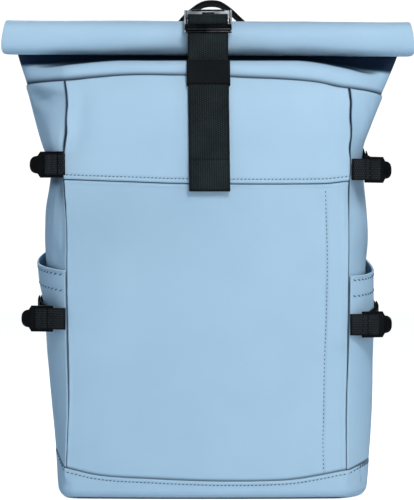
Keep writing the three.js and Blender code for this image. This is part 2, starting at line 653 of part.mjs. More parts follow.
function rectangle(target, x0, y0, x1, y1, round) {
  target.moveTo(x0 + round, y0);
  target.lineTo(x1 - round, y0);
  target.lineTo(x1, y0 + round);
  target.lineTo(x1, y1 - round);
  target.lineTo(x1 - round, y1);
  target.lineTo(x0 + round, y1);
  target.lineTo(x0, y1 - round);
  target.lineTo(x0, y0 + round);
  target.closePath();
  return target;
}

const hookMidBar = 11; // from the lowest bar to the one that the strap turns round
const hookTopSlot = 6.6;
const hookWebThick = 1.2;
const lipThick = 1.2;
const lipGap = hookWebThick + 2 * strapGap; // between the plate and the lip that curls under it
const lipLength = 5.4;
const upperEdge = hookLength - hookBar / 2;

// A plate with the strap's bars and a lip curled under its upper edge, which holds the hook strap's loop.
function metalHook(frame) {
  const half = hookWidth / 2;
  const bar = hookBar / 2;
  const hole = strapWidth / 2 + 0.8;
  const outline = rectangle(new THREE.Shape(), -bar, -half, upperEdge, half, 2.5);
  outline.holes.push(rectangle(new THREE.Path(), bar, -hole, hookMidBar - bar, hole, 0.8));
  outline.holes.push(rectangle(new THREE.Path(), hookMidBar + bar, -hole, hookMidBar + bar + hookTopSlot, hole, 0.8));
  outline.holes.push(rectangle(new THREE.Path(), upperEdge - 5.6, -5.5, upperEdge - 3.2, 5.5, 0.4));
  const plate = new THREE.ExtrudeGeometry(outline, { depth: hookThick, bevelEnabled: false, curveSegments: 4 });
  plate.translate(0, 0, -hookThick / 2);
  const top = hookThick / 2;
  const low = -top - lipGap - lipThick;
  const lip = new THREE.Shape();
  lip.moveTo(upperEdge - 2, -top);
  lip.lineTo(upperEdge - 2, top);
  lip.absarc(upperEdge, (top + low) / 2, (top - low) / 2, Math.PI / 2, -Math.PI / 2, true);
  lip.lineTo(upperEdge - lipLength, low);
  lip.lineTo(upperEdge - lipLength, low + lipThick);
  lip.absarc(upperEdge, -top - lipGap / 2, lipGap / 2, -Math.PI / 2, Math.PI / 2, false);
  lip.closePath();
  const lipWidth = loopWidth + 12;
  const curl = new THREE.ExtrudeGeometry(lip, { depth: lipWidth, bevelEnabled: false, curveSegments: 6 });
  curl.rotateX(Math.PI / 2);
  curl.translate(0, lipWidth / 2, 0);
  const mesh = fromManifold("metal_hook", asManifold(plate).add(asManifold(curl)), colours.metal);
  mesh.applyMatrix4(frame.matrix);
  return mesh;
}

// The closure strap's lower layer on the front, and where it leaves the front for the hook.
const strapLayer = strapThick + strapGap;
function onFront(z, layers) {
  const proud = (lapGap + wall) * (1 - ease((z - frontHeight(0.5)) / lapEase));
  return skin(0.5, z, proud + strapGap + strapThick / 2 + layers * strapLayer).setX(0);
}

function strapLeaves() {
  const crest = onFront(archHeight(0.5) - 4, 1.1);
  const way = hookFrame().point(1, -5).sub(crest).normalize();
  return { crest, way, out: vec(0, -way.z, way.y) };
}

// The closure strap: sewn in at the front seam, up over the roll, round the hook's bar and down again to its hem.
function closureStrap(frame) {
  const low = frontHeight(0.5);
  const rises = [0.025, 0.2, 0.38, 0.55, 0.7, 0.84].map((share) => mix(low, archHeight(0.5), share));
  const { crest, way, out } = strapLeaves();
  const top = crest.clone().addScaledVector(way, 22);
  const belowBar = -(hookThick / 2 + strapGap + strapThick / 2);
  const underHook = belowBar - strapLayer;
  const edge = hookBar / 2;
  const up = [...rises.map((z, i) => onFront(z, 0.05 * i)), crest, top, frame.point(1, underHook - 0.2), frame.point(8, underHook)];
  const round = [
    [hookMidBar + 1.2, underHook + 0.6], ...turn(hookMidBar + edge, -hookThick / 2, -40, 0, strapThick),
    ...turn(hookMidBar + edge, hookThick / 2, 0, 90, strapThick),
    ...turn(hookMidBar - edge, hookThick / 2, 90, 180, strapThick), [5.6, -1.2], [1.8, belowBar], [-2.4, belowBar],
  ].map(([e, n]) => frame.point(e, n));
  const down = [top, crest].map((point) => point.clone().addScaledVector(out, strapLayer));
  const end = onFront(low + 1, 1).setZ(low - strapDrop + strapLayer / 2);
  const tail = [
    ...rises.slice(1).reverse().map((z, i) => onFront(z, 1.25 - 0.05 * i)), onFront(low + 1, 1), end,
    end.clone().add(vec(0, -strapLayer / 2, -strapLayer / 2)), end.clone().add(vec(0, -strapLayer, 0)),
    onFront(low + 3, 2), onFront(low - strapDrop + strapHem, 2),
  ];
  return webbing(
    "centre_strap", [...up, ...round, ...down, ...tail], strapWidth, strapThick, () => vec(1, 0, 0), colours.webbing,
  );
}

// The elastic band that keeps the two layers of the closure strap together.
function strapKeeper() {
  const { crest, way, out } = strapLeaves();
  const middle = crest.clone().addScaledVector(way, keeperUp).addScaledVector(out, strapLayer / 2);
  const inX = strapWidth / 2 + 0.4;
  const inY = strapLayer / 2 + strapThick / 2 + 0.35;
  const shape = rectangle(new THREE.Shape(), -inX - keeperThick, -inY - keeperThick, inX + keeperThick, inY + keeperThick, 0.6);
  shape.holes.push(rectangle(new THREE.Path(), -inX, -inY, inX, inY, 0.3));
  const geometry = new THREE.ExtrudeGeometry(shape, { depth: keeperWidth, bevelEnabled: false });
  geometry.translate(0, 0, -keeperWidth / 2);
  const mesh = new THREE.Mesh(geometry, colours.webbing);
  mesh.name = "strap_keeper";
  mesh.applyMatrix4(new THREE.Matrix4().makeBasis(vec(-1, 0, 0), out, way).setPosition(middle));
  return mesh;
}

// The web from the back of the bag to the hook, ending in a loop round the hook's lip.
function hookStrap(frame) {
  const half = hookWebThick / 2;
  const back = (z) => skin(2.5, z, strapGap + half + 0.2);
  const overRoll = along(4, 40, 96).map((angle) => rollPoint(angle, rollSheet / 2 + half + 1.2));
  const inLip = -hookThick / 2 - lipGap / 2;
  const lipLow = -hookThick / 2 - lipGap - lipThick;
  const line = [
    back(archHeight(2.5) - 14), back(archHeight(2.5) + 1), ...overRoll,
    frame.point(upperEdge - 1, lipLow - webGap - half),
    ...turn(upperEdge - lipLength, lipLow, 270, 180, hookWebThick).map(([e, n]) => frame.point(e, n)),
    ...turn(upperEdge - lipLength, lipLow + lipThick, 180, 110, hookWebThick).map(([e, n]) => frame.point(e, n)),
    frame.point(upperEdge - lipLength + 1, inLip), frame.point(upperEdge - 0.4, inLip),
  ];
  return webbing("hook_strap", line, loopWidth, hookWebThick, () => vec(1, 0, 0), colours.webbing);
}

// The loop to carry by, an arch of doubled webbing behind the roll, sewn to the top of the back.
function haulLoop() {
  const lean = vec(0, Math.cos(radians(loopLean)), -Math.sin(radians(loopLean)));
  const top = bagHeight + loopRise;
  const foot = archHeight(2.5) - loopSewn;
  const feet = [2.5 + loopSpan / 2 / backWidth, 2.5 - loopSpan / 2 / backWidth];
  const [left, right] = feet.map((at) => skin(at, foot, strapGap + loopThick / 2));
  const [leftSeam, rightSeam] = feet.map((at) => skin(at, archHeight(2.5) + 1, strapGap + loopThick / 2 + 1.5));
  const crest = vec(loopAside, leftSeam.y - loopForward, top - loopThick);
  const arch = (seam, side) => [0.2, 0.4, 0.6, 0.8].map((t) => {
    const swing = Math.cos((t * Math.PI) / 2);
    return vec(mix(crest.x, seam.x, swing ** 1.15), mix(seam.y, crest.y, ease(t)), mix(seam.z, crest.z, Math.sin((t * Math.PI) / 2)));
  });
  const line = [left, leftSeam, ...arch(leftSeam), crest, ...arch(rightSeam).reverse(), rightSeam, right];
  // Its feet lie flat on the back, and the arch leans.
  const across = (i) => {
    if (i < 2) return vec(-1, 0, 0);
    return i > line.length - 3 ? vec(1, 0, 0) : lean;
  };
  return webbing("haul_loop", line, loopWidth, loopThick, across, colours.webbing);
}

function backPad() {
  const half = backPadWidth / backWidth / 2;
  const ats = along(8, 2.5 - half, 2.5 + half);
  const rows = shellHeights(2.5).map((z, r) => r).filter((r) => {
    const z = shellHeights(2.5)[r];
    return z > backPadLow && z < backPadHigh;
  });
  const edge = (t) => Math.min(1, Math.sin(Math.PI * mix(0.04, 0.96, t)) * 2.2);
  const outer = rows.map((r, i) =>
    ats.map((at, c) => {
      const full = edge(i / (rows.length - 1)) * edge(c / (ats.length - 1));
      return skin(at, shellHeights(at)[r], strapGap + backPadThick * Math.sqrt(full));
    }),
  );
  const inner = rows.map((r) => ats.map((at) => skin(at, shellHeights(at)[r], strapGap)));
  return wallSolid("back_pad", outer, inner, colours.mesh);
}

// The shoulder straps' middle line: across from the middle, out from the back panel, and height.
// Shares of half backWidth, of bagDepth and of bagHeight.
const shoulderLine = [
  { across: 0.29, out: 0.03, up: 0.812 }, { across: 0.295, out: 0.06, up: 0.84 }, { across: 0.3, out: 0.12, up: 0.866 },
  { across: 0.315, out: 0.25, up: 0.862 }, { across: 0.35, out: 0.38, up: 0.8 }, { across: 0.43, out: 0.435, up: 0.71 },
  { across: 0.52, out: 0.44, up: 0.61 }, { across: 0.6, out: 0.4, up: 0.5 }, { across: 0.65, out: 0.33, up: 0.4 },
  { across: 0.68, out: 0.26, up: 0.315 },
];

function shoulderStrap(side) {
  const name = side > 0 ? "right" : "left";
  const curve = new THREE.CatmullRomCurve3(
    shoulderLine.map(({ across, out, up }) => {
      const level = backPadHigh + shoulderClear + (up - shoulderLine[0].up) * bagHeight;
      const panelFace = shellPoint(2.5, level).y;
      return vec((side * across * backWidth) / 2, panelFace + out * bagDepth, level);
    }),
  );
  const line = curve.getSpacedPoints(14);
  const rings = line.map((point, i) => {
    const way = curve.getTangentAt(i / 14);
    const wide = vec(1, 0, 0).addScaledVector(way, -way.x).normalize();
    const deep = way.clone().cross(wide);
    const share = i / 14;
    const half = (padWidth / 2) * mix(1, 0.66, ease((share - 0.45) / 0.55));
    const thick = (padThick / 2) * mix(0.55, 1, ease(Math.min(share, 1 - share) / 0.15));
    const corner = (w, d) => point.clone().addScaledVector(wide, w * half).addScaledVector(deep, d * thick);
    return [corner(-1, 0), corner(-0.86, -1), corner(0.86, -1), corner(1, 0), corner(0.86, 1), corner(-0.86, 1)];
  });
  const pad = ringSolid("shoulder_pad_" + name, rings, colours.mesh);
  const end = line[line.length - 1];
  const down = curve.getTangentAt(1);
  const out = vec(1, 0, 0).addScaledVector(down, -down.x).normalize().cross(down);
  if (out.y < 0) out.negate();
  const frame = frameAt(end.clone().addScaledVector(down, padToLock).addScaledVector(out, 1), down, out);
  const inPad = (layer) => end.clone().addScaledVector(down, 0.6).addScaledVector(out, 1 + layer * 2);
  const anchor = [inPad(1), ...roundBar(frame, sideWebThick), inPad(-1)];
  const foot = skin(side > 0 ? 2.06 : 2.94, baseHeight(2.5) + 12, strapGap + 2 * sideWebThick);
  const lock = throughLock(frame, sideWebThick, true);
  const lift = foot.clone().lerp(lock[0], 0.15).add(vec(0, 6, 0));
  const last = lock[lock.length - 1];
  const tail = [0.21, 0.57, 1].map((share, i) => last.clone().addScaledVector(down, share * shoulderTail).addScaledVector(out, 0.2 + 1.2 * i));
  return [
    pad,
    ladderLock("shoulder_buckle_" + name, frame, shoulderWebWidth),
    webbing("shoulder_anchor_" + name, anchor, shoulderWebWidth, sideWebThick, () => frame.across, colours.webbing),
    webbing("shoulder_web_" + name, [foot, lift, ...lock, ...tail], shoulderWebWidth, sideWebThick, () => frame.across, colours.webbing),
  ];
}

const backpack = new THREE.Group();
const hook = hookFrame();
backpack.add(
  ...frontPanels(), ...sideAndBackPanels(), basePanel(), collar(), roll(),
  sidePocket("side_pocket_right", 1, rightAts), sidePocket("side_pocket_left", -1, leftAts),
  ...compression.flatMap(compressionStrap),
  closureStrap(hook), strapKeeper(), metalHook(hook), hookStrap(hook), haulLoop(),
  backPad(), ...shoulderStrap(-1), ...shoulderStrap(1),
);

export default backpack;
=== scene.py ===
"""The looks of a rolltop backpack of coated fabric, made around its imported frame.

Shapes are worked out in millimetres and scaled to metres as each piece is finished.
Along the bag's girth, `at` runs 0..1 over the front (left to right), 1..2 over the right side (front to
back), 2..3 over the back (right to left) and 3..4 over the left side (back to front).
"""
import math
from functools import lru_cache

import bmesh
import bpy
from mathutils import Matrix, Vector, noise


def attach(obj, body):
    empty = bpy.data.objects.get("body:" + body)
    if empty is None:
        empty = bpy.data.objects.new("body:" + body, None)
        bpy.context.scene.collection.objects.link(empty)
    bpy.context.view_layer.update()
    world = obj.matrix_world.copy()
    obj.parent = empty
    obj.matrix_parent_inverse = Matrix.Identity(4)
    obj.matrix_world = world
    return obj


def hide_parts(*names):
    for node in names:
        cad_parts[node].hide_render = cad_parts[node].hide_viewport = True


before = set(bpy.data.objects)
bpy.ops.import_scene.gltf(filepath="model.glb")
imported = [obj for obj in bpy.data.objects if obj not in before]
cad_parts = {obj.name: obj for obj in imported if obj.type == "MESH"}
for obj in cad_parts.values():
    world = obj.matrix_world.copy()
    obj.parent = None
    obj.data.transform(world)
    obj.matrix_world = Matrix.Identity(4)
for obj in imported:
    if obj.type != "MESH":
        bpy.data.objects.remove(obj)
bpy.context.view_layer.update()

MM = 0.001
SCENE = bpy.context.scene

# Sizes in millimetres, angles in degrees

# The shell
BAG_HEIGHT = 449  # to the top of the roll
FRONT_WIDTH = 264
GIRTH_WIDTH = 312  # over the sides where they swell
BACK_WIDTH = 290
BAG_DEPTH = 130
GIRTH = (FRONT_WIDTH, BAG_DEPTH, BACK_WIDTH, BAG_DEPTH)
CROWN_POWER = 2.6
SIDE_POWER = 2.2
BACK_CROWN = 0.05
WALL = 1.5
SEAM_GAP = 0.3
LAP_GAP = 0.5
LAP = 6
LAP_EASE = 36
BASE_EDGE = 10
FRONT_SEAM_HEIGHT = 295
SEAM_ALLOWANCE = 3.9  # from the upper front panel's edge to its stitching
BASE_ALLOWANCE = 3.4
STITCH_PITCH = 3.6
SIDE_STITCH_PITCH = 6.6  # wider where the view foreshortens the row
HEM_STITCH_PITCH = 7.2
VERTICAL_STITCH_PITCH = 3.9
VERTICAL_STITCH_SPAN = (27, 288)
STITCH_SINK = 0.45
STITCH_LIFT = 0.2

# The roll
ROLL_HEIGHT = 33
ROLL_DEPTH = 37
ROLL_SHEET = 2.6
ROLL_PITCH = 3.4
ROLL_TURNS = 2.6
ROLL_FORWARD = 9
ROLL_TILT = 0.3
ROLL_START = -12
COLLAR_WALL = 1.0
COLLAR_WIDTH = 367
SHOULDER_HIGH = 410  # where the collar's front folds back, in the middle and towards its ends
SHOULDER_LOW = {-1: 404, 1: 397}
COLLAR_TUCKED = 0.1  # of the collar's grid, below the seam
COLLAR_FOLD = 0.55  # of its way up, where the front has turned back
COLLAR_PROUD = 2.6

# The pockets
POCKET_WALL = 1.3
POCKET_HEIGHT = 212
HEM_LINES = (3.4, 18.2)

# The closure strap, its keeper and its hook
STRAP_WIDTH = 38
STRAP_THICK = 1.5
STRAP_GAP = 0.4
STRAP_LAYER = STRAP_THICK + STRAP_GAP
STRAP_HEM = 29
STRAP_DROP = 7
KEEPER_WIDTH = 26
KEEPER_UP = 4.6
KEEPER_THICK = 0.9
KEEPER_CORNER = 1.2
HOOK_WIDTH = 45
HOOK_LENGTH = 32
HOOK_THICK = 2.2
HOOK_LEAN = 43
HOOK_BAR = 3.2
HOOK_SEAT = 138
HOOK_OUT = 5.4
HOOK_MIDDLE = 14.2
HOOK_MID_BAR = 11
HOOK_TOP_SLOT = 6.6
HOOK_WEB = 1.2
LIP_THICK = 1.2
LIP_GAP = 2.0
LIP_LENGTH = 5.4
UPPER_EDGE = HOOK_LENGTH - HOOK_BAR / 2
SLOT_LOW, SLOT_HIGH, SLOT_HALF = UPPER_EDGE - 5.6, UPPER_EDGE - 3.2, 5.5
LOOP_SPAN = 106
LOOP_WIDTH = 20
LOOP_THICK = 2.7
LOOP_LEAN = 9

# The side straps and their ladder locks
WEB_WIDTH = 20
WEB_THICK = 1.2
WEB_TAIL = 34
WEB_GAP = 0.3
BUCKLE_THICK = 3
BUCKLE_BAR = 3
BUCKLE_SLOT = 3.7
BUCKLE_RAIL = 2.3
TAB_LENGTH = 10
LOCK_PITCH = BUCKLE_BAR + BUCKLE_SLOT
LOCK_SIDE = -0.1

# The padded back
BACK_PAD_THICK = 12
BACK_PAD_WIDTH = 232
BACK_PAD_LOW = 60
BACK_PAD_HIGH = 362
BACK_VOXEL = 0.0045  # metres
PAD_THICK = 12
PAD_WIDTH = 62
PAD_VOXEL = 0.0035
PAD_SMOOTHINGS = 4
SWELL_PRESSURE = 4
SWELL_FRAMES = 20
SHOULDER_WEB = 25

UPRIGHT = Vector((0, 0, 1))
LEVEL = Vector((1, 0, 0))


def table(names, rows):
    """Rows of numbers under their column names."""
    return [dict(zip(names.split(), row)) for row in rows]


# Shares: rise of BAG_HEIGHT; left and right of half GIRTH_WIDTH; seam_left and seam_right of half
# FRONT_WIDTH; front, crown and back of half BAG_DEPTH; back_seam of half BACK_WIDTH.
SECTIONS = table("rise left right seam_left seam_right front crown back back_seam", [
    (0.0, 0.885, 0.94, 1.01, 0.985, 0.85, 0.1, 0.94, 0.94),
    (0.025, 0.9, 0.957, 1.006, 0.98, 0.88, 0.13, 0.965, 0.95),
    (0.1, 0.914, 0.97, 0.996, 0.976, 0.9, 0.17, 0.985, 0.965),
    (0.19, 0.938, 0.973, 0.985, 0.976, 0.91, 0.2, 1.0, 0.98),
    (0.285, 0.955, 0.97, 0.99, 0.985, 0.92, 0.215, 1.0, 1.0),
    (0.38, 0.968, 0.965, 0.996, 0.994, 0.923, 0.215, 1.0, 1.0),
    (0.475, 0.987, 0.966, 1.0, 0.998, 0.923, 0.215, 1.0, 1.0),
    (0.54, 1.0, 0.98, 1.0, 0.998, 0.923, 0.2, 1.0, 1.0),
    (0.6, 0.995, 0.97, 1.008, 0.997, 0.915, 0.185, 1.0, 1.0),
    (0.655, 0.968, 0.952, 1.02, 1.0, 0.91, 0.17, 1.0, 1.0),
    (0.693, 0.962, 0.94, 1.022, 1.005, 0.9, 0.165, 0.99, 1.0),
    (0.735, 1.01, 0.948, 1.015, 1.01, 0.89, 0.16, 0.98, 1.0),
    (0.77, 1.04, 0.985, 1.005, 1.015, 0.87, 0.155, 0.955, 1.0),
    (0.842, 1.095, 1.068, 1.007, 1.005, 0.76, 0.155, 0.84, 1.02),
    (0.882, 1.13, 1.115, 1.025, 0.99, 0.62, 0.155, 0.72, 1.05),
])
# The seams round the bag: heights along the girth, as shares of the height that they follow.
ARCH_SEAM = table("at share", [
    (0, 0.871), (0.22, 0.882), (0.43, 0.881), (0.62, 0.877), (0.78, 0.873), (0.89, 0.867), (1, 0.855),
    (1.5, 0.841), (2, 0.856), (2.5, 0.868), (3, 0.868), (3.5, 0.864), (4, 0.871),
])
BASE_SEAM = table("at share", [
    (0, 0.0645), (0.12, 0.0495), (0.3, 0.0432), (0.5, 0.0385), (0.67, 0.0381), (0.8, 0.041), (0.9, 0.0495),
    (1, 0.0601), (1.2, 0.073), (1.5, 0.08), (2, 0.075), (2.5, 0.067), (3, 0.078), (3.5, 0.103), (3.75, 0.097),
    (3.88, 0.081), (4, 0.0645),
])
FRONT_SEAM = table("at share", [(0, 1.011), (0.2, 1.004), (0.43, 0.997), (0.9, 0.997), (1, 1.006)])
VERTICAL_STITCHES = table("z x", [
    (10, 108.2), (50, 107.0), (75, 107.6), (125, 108.3), (170, 110), (225, 111.2), (300, 109),
])
# Low and high end of each pocket's mouth, and how much of it bends up.
POCKET_MOUTHS = {-1: (1, 1.108, 0.35), 1: (0.976, 1.075, 0.76)}
POCKET_SWELL = table("up left right", [
    (0, 0, 0), (0.15, 0.2, 1.1), (0.3, 0.75, 2.1), (0.5, 1.5, 3), (0.65, 1.7, 4.1), (0.8, 2.6, 4.2),
    (0.9, 4.1, 4), (1, 4.5, 3.8),
])
# Half the roll's width round its spiral, in degrees and millimetres: its ends flare as it goes over.
ROLL_ENDS = table("angle half", [
    (-12, 187.5), (60, 188.5), (90, 189.3), (135, 191.8), (180, 194.2), (215, 194.9), (243, 192.6),
    (268, 188), (300, 187), (720, 187), (924, 186),
])
COMPRESSION = table("name side height run web_yaw buckle_yaw climb over_pocket", [
    ("left_upper", -1, 311.5, -1.5, 21, 21, 6, False),
    ("right_upper", 1, 307, 14.5, 34, 42, 18, False),
    ("left_lower", -1, 168, 14, 30, 29, 20, True),
    ("right_lower", 1, 162.5, 13.5, 34, 34, 20, True),
])
SHOULDER_LINE = table("across out up", [
    (0.29, 0.03, 0.812), (0.295, 0.06, 0.84), (0.3, 0.12, 0.866), (0.315, 0.25, 0.862), (0.35, 0.38, 0.8),
    (0.43, 0.435, 0.71), (0.52, 0.44, 0.61), (0.6, 0.4, 0.5), (0.65, 0.33, 0.4), (0.68, 0.26, 0.315),
])


# Numbers

def mix(a, b, t):
    return a + (b - a) * t


def clamp(t):
    return max(0.0, min(1.0, t))


def ease(t):
    t = clamp(t)
    return t * t * (3 - 2 * t)


def bell(distance, width):
    """1 in the middle, falling to nothing over about twice the width."""
    return math.exp(-((distance / width) ** 2))


def along(count, start, end):
    return [mix(start, end, i / count) for i in range(count + 1)]


def arc(x, y, radius, start, end, count):
    """Places round a centre, from one angle to another."""
    return [
        (x + radius * math.cos(math.radians(a)), y + radius * math.sin(math.radians(a)))
        for a in along(count, start, end)
    ]


def through(rows, by, key, at):
    """A smooth curve through a table's rows: `key` is read where `by` is `at`."""
    i = 0
    while i < len(rows) - 2 and rows[i + 1][by] <= at:
        i += 1

    def slope(k):
        a, b = rows[max(k - 1, 0)], rows[min(k + 1, len(rows) - 1)]
        return (b[key] - a[key]) / (b[by] - a[by])

    span = rows[i + 1][by] - rows[i][by]
    t = (at - rows[i][by]) / span
    bend = t * t * (3 - 2 * t)
    lift = t * (1 - t) ** 2 * span * slope(i) - t * t * (1 - t) * span * slope(i + 1)
    return rows[i][key] * (1 - bend) + rows[i + 1][key] * bend + lift


def drift(x, y, size, seed):
    """Slow, even noise from -1 to 1, with hills about `size` millimetres wide."""
    return noise.noise(Vector((x / size, y / size, 17.3 * seed)))


# The bag's surface

LOWEST = -4
LEVELS = {
    key: [through(SECTIONS, "rise", key, z / BAG_HEIGHT) for z in range(LOWEST, BAG_HEIGHT)]
    for key in SECTIONS[0]
}


@lru_cache(maxsize=None)
def arch_height(at):
    return BAG_HEIGHT * through(ARCH_SEAM, "at", "share", at)


@lru_cache(maxsize=None)
def base_height(at):
    return BAG_HEIGHT * through(BASE_SEAM, "at", "share", at)


@lru_cache(maxsize=None)
def front_height(at):
    return FRONT_SEAM_HEIGHT * through(FRONT_SEAM, "at", "share", at)


def share_at(key, z):
    place = max(0.0, min(len(LEVELS[key]) - 1.001, z - LOWEST))
    low = int(place)
    return mix(LEVELS[key][low], LEVELS[key][low + 1], place - low)


def shell_point(at, z):
    """The shell at a place along the girth and a height."""
    at %= 4
    front = -share_at("front", z) * BAG_DEPTH / 2
    back = share_at("back", z) * BAG_DEPTH / 2
    part = min(int(at), 3)
    t = at - part
    if part == 0:
        crown = share_at("crown", z) * BAG_DEPTH / 2 * (1 - abs(2 * t - 1) ** CROWN_POWER)
        left, right = -share_at("seam_left", z), share_at("seam_right", z)
        return Vector((mix(left, right, t) * FRONT_WIDTH / 2, front - crown, z))
    back_seam = share_at("back_seam", z) * BACK_WIDTH / 2
    if part == 2:
        crown = BACK_CROWN * BAG_DEPTH / 2 * (1 - (2 * t - 1) ** 2)
        return Vector((mix(back_seam, -back_seam, t), back + crown, z))
    side = 1 if part == 1 else -1
    from_front = t if part == 1 else 1 - t
    seam = share_at("seam_right" if side > 0 else "seam_left", z) * FRONT_WIDTH / 2
    widest = share_at("right" if side > 0 else "left", z) * GIRTH_WIDTH / 2
    edge = seam if from_front < 0.5 else back_seam
    x = edge + (widest - edge) * (1 - abs(1 - 2 * from_front) ** SIDE_POWER)
    return Vector((side * x, mix(front, back, from_front), z))


STEP = 0.01
RISE = 1.0
MITRE = 0.05  # of a panel's width, over which its way out turns from the seam's mitre to its own


def flat_normal(at, z):
    across = shell_point(at + STEP, z) - shell_point(at - STEP, z)
    up = shell_point(at, z + RISE) - shell_point(at, z - RISE)
    return across.cross(up).normalized()


@lru_cache(maxsize=None)
def seam_normals(seam, z):
    before, after = flat_normal(seam - 2.1 * STEP, z), flat_normal(seam + 2.1 * STEP, z)
    middle = (before + after).normalized()
    return before, middle / max(middle.dot(after), 0.6), after


def shell_normal(at, z):
    """The way out of the shell. On a seam it is the mitre of the two panels."""
    seam = round(at)
    away = at - seam
    if abs(away) >= MITRE:
        return flat_normal(at, z)
    before, mitre, after = seam_normals(seam % 4, round(z, 1))
    own = flat_normal(at, z) if abs(away) > 2 * STEP else (after if away > 0 else before)
    return mitre.lerp(own, ease(abs(away) / MITRE))


def skin(at, z, out):
    return shell_point(at, z) + shell_normal(at, z) * out


def seam_distance(at):
    """Millimetres along the girth to the nearest seam up the bag."""
    return abs(at - round(at)) * GIRTH[int(at % 4)]


def on_side(side, t):
    """The place along the girth at a share of a side's way from front to back; side is -1 for the left."""
    return 1 + t if side > 0 else 4 - t


def groove(distance, depth, width):
    """A line where stitching draws the fabric in, with its soft shoulders."""
    return -depth * bell(distance, width) - 0.3 * depth * bell(distance, 5 * width)


def pucker(run, distance, pitch, seed):
    """Small waves across a sewn edge that fade away from it."""
    wave = noise.noise(Vector((run / pitch, seed * 3.7, 0)))
    return 0.35 * wave * bell(distance, 7)


# Soft dents and folds of the shell: along the girth, height, half sizes of both, turn in degrees, and depth.
DENTS = table("at z wide tall turn deep", [
    # front, lower panel
    (0.9, 268, 9, 34, -24, 1.3), (0.83, 236, 12, 44, -18, 0.8), (0.955, 205, 5, 60, 0, 0.8),
    (0.985, 262, 3, 26, 0, 1.0), (0.1, 240, 16, 60, 6, 1.0), (0.2, 120, 22, 70, 8, 0.6),
    (0.5, 90, 60, 24, 4, 0.5), (0.7, 160, 34, 60, -10, 0.5), (0.36, 210, 30, 60, 10, 0.5),
    # front, upper panel
    (0.05, 350, 8, 30, 4, 1.6), (0.955, 352, 7, 34, -4, 1.7), (0.925, 330, 9, 16, -20, 1.2),
    (0.24, 352, 26, 20, 16, 0.5),
    # right side
    (1.24, 268, 9, 26, -24, 1.6), (1.45, 225, 10, 40, -6, 1.2), (1.2, 366, 7, 12, -36, 1.5),
    (1.2, 352, 14, 26, 0, -2.2), (1.14, 233, 8, 9, 30, 1.3), (1.5, 120, 10, 34, 8, 1.2),
    (1.26, 108, 8, 34, -24, 1.2), (1.7, 200, 12, 50, 4, 1.4), (1.62, 330, 12, 30, -12, 1.6),
    (1.6, 60, 14, 14, 0, 1),
    # left side
    (3.78, 375, 15, 7, 8, 6.5), (3.9, 378, 11, 4, 4, 2.2), (3.9, 334, 12, 22, -14, -4.2),
    (3.9, 322, 6, 16, 12, -0.8), (3.86, 262, 4.5, 30, 4, -0.8), (3.87, 229, 6, 7, -28, 1.8),
    (3.95, 240, 4, 22, 8, 0.9), (3.55, 250, 9, 44, -8, 1.6), (3.82, 120, 6, 30, 20, 1.0), (3.5, 110, 10, 44, 6, 1.4),
    (3.3, 220, 12, 52, -4, 1.4), (3.35, 330, 12, 30, 12, 1.6),
    # back
    (2.5, 390, 70, 8, 0, 0.8),
])
# Sharp creases, from one place to the next: along the girth, height, depth and how dark the painted shade along them
# is.
CREASES = table("at_low z_low at_high z_high deep dark", [
    (0.982, 22, 0.983, 118, 0.5, 0.05),  # beside the right front seam, low on the front
    (1.05, 67, 1.045, 128, 0.9, 0.22),  # beside that seam on the side, and from it to the corner below
    (1.2, 8, 1.05, 67, 0.9, 0.25),
    (3.93, 34, 3.965, 110, 0.5, 0.08),
    (3.9, 10, 3.955, 28, -0.8, 0),
])
# Where a buckle, the lap or a deep fold keeps the light off the bag: along the girth, height, half sizes
# and how dark.
SHELTERS = table("at z wide tall dark", [
    (3.86, 298, 30, 6.5, 0.95), (3.97, 288, 6, 12, 0.6), (3.8, 146, 26, 6, 0.5), (1.2, 286, 26, 11, 0.35),
    (1.16, 142, 20, 7, 0.45), (1.25, 206, 12, 5, 0.4), (3.76, 381, 16, 5, 0.3), (3.7, 370, 12, 14, 0.14),
    (0.25, 262, 130, 60, 0.1), (0.8, 262, 60, 50, 0.05), (3.82, 130, 30, 12, 0.3), (1.3, 232, 24, 22, 0.28),
    (3.84, 212, 12, 6, 0.3),
])


def shelter(at, z):
    run = girth_run(at)
    return max(
        row["dark"] * bell(run - girth_run(row["at"]), row["wide"]) * bell(z - row["z"], row["tall"])
        for row in SHELTERS
    )


def crease_line(crease, run, z):
    """1 in the middle of a crease, falling off beside it and past its ends."""
    t = (z - crease["z_low"]) / (crease["z_high"] - crease["z_low"])
    if not -0.1 < t < 1.1:
        return 0
    middle = girth_run(mix(crease["at_low"], crease["at_high"], clamp(t)))
    return ease((t + 0.1) / 0.2) * ease((1.1 - t) / 0.2) * bell(run - middle, 1.1)


# Painted shade along the creases, as dark as the table gives.
def crease_shade(at, z):
    run = girth_run(at)
    return max(crease["dark"] * crease_line(crease, run, z) for crease in CREASES)


def girth_run(at):
    """Millimetres along the girth, near enough to place a fold."""
    part = int(at % 4)
    return sum(GIRTH[:part]) + (at % 4 - part) * GIRTH[part]


def at_girth(run):
    """The place along the girth at so many millimetres."""
    run %= sum(GIRTH)
    part = 0
    while run > GIRTH[part]:
        run -= GIRTH[part]
        part += 1
    return part + run / GIRTH[part]


def place_fold(dent):
    turn = math.radians(dent["turn"])
    return {**dent, "run": girth_run(dent["at"]), "cos": math.cos(turn), "sin": math.sin(turn)}


FOLDS = [place_fold(dent) for dent in DENTS]


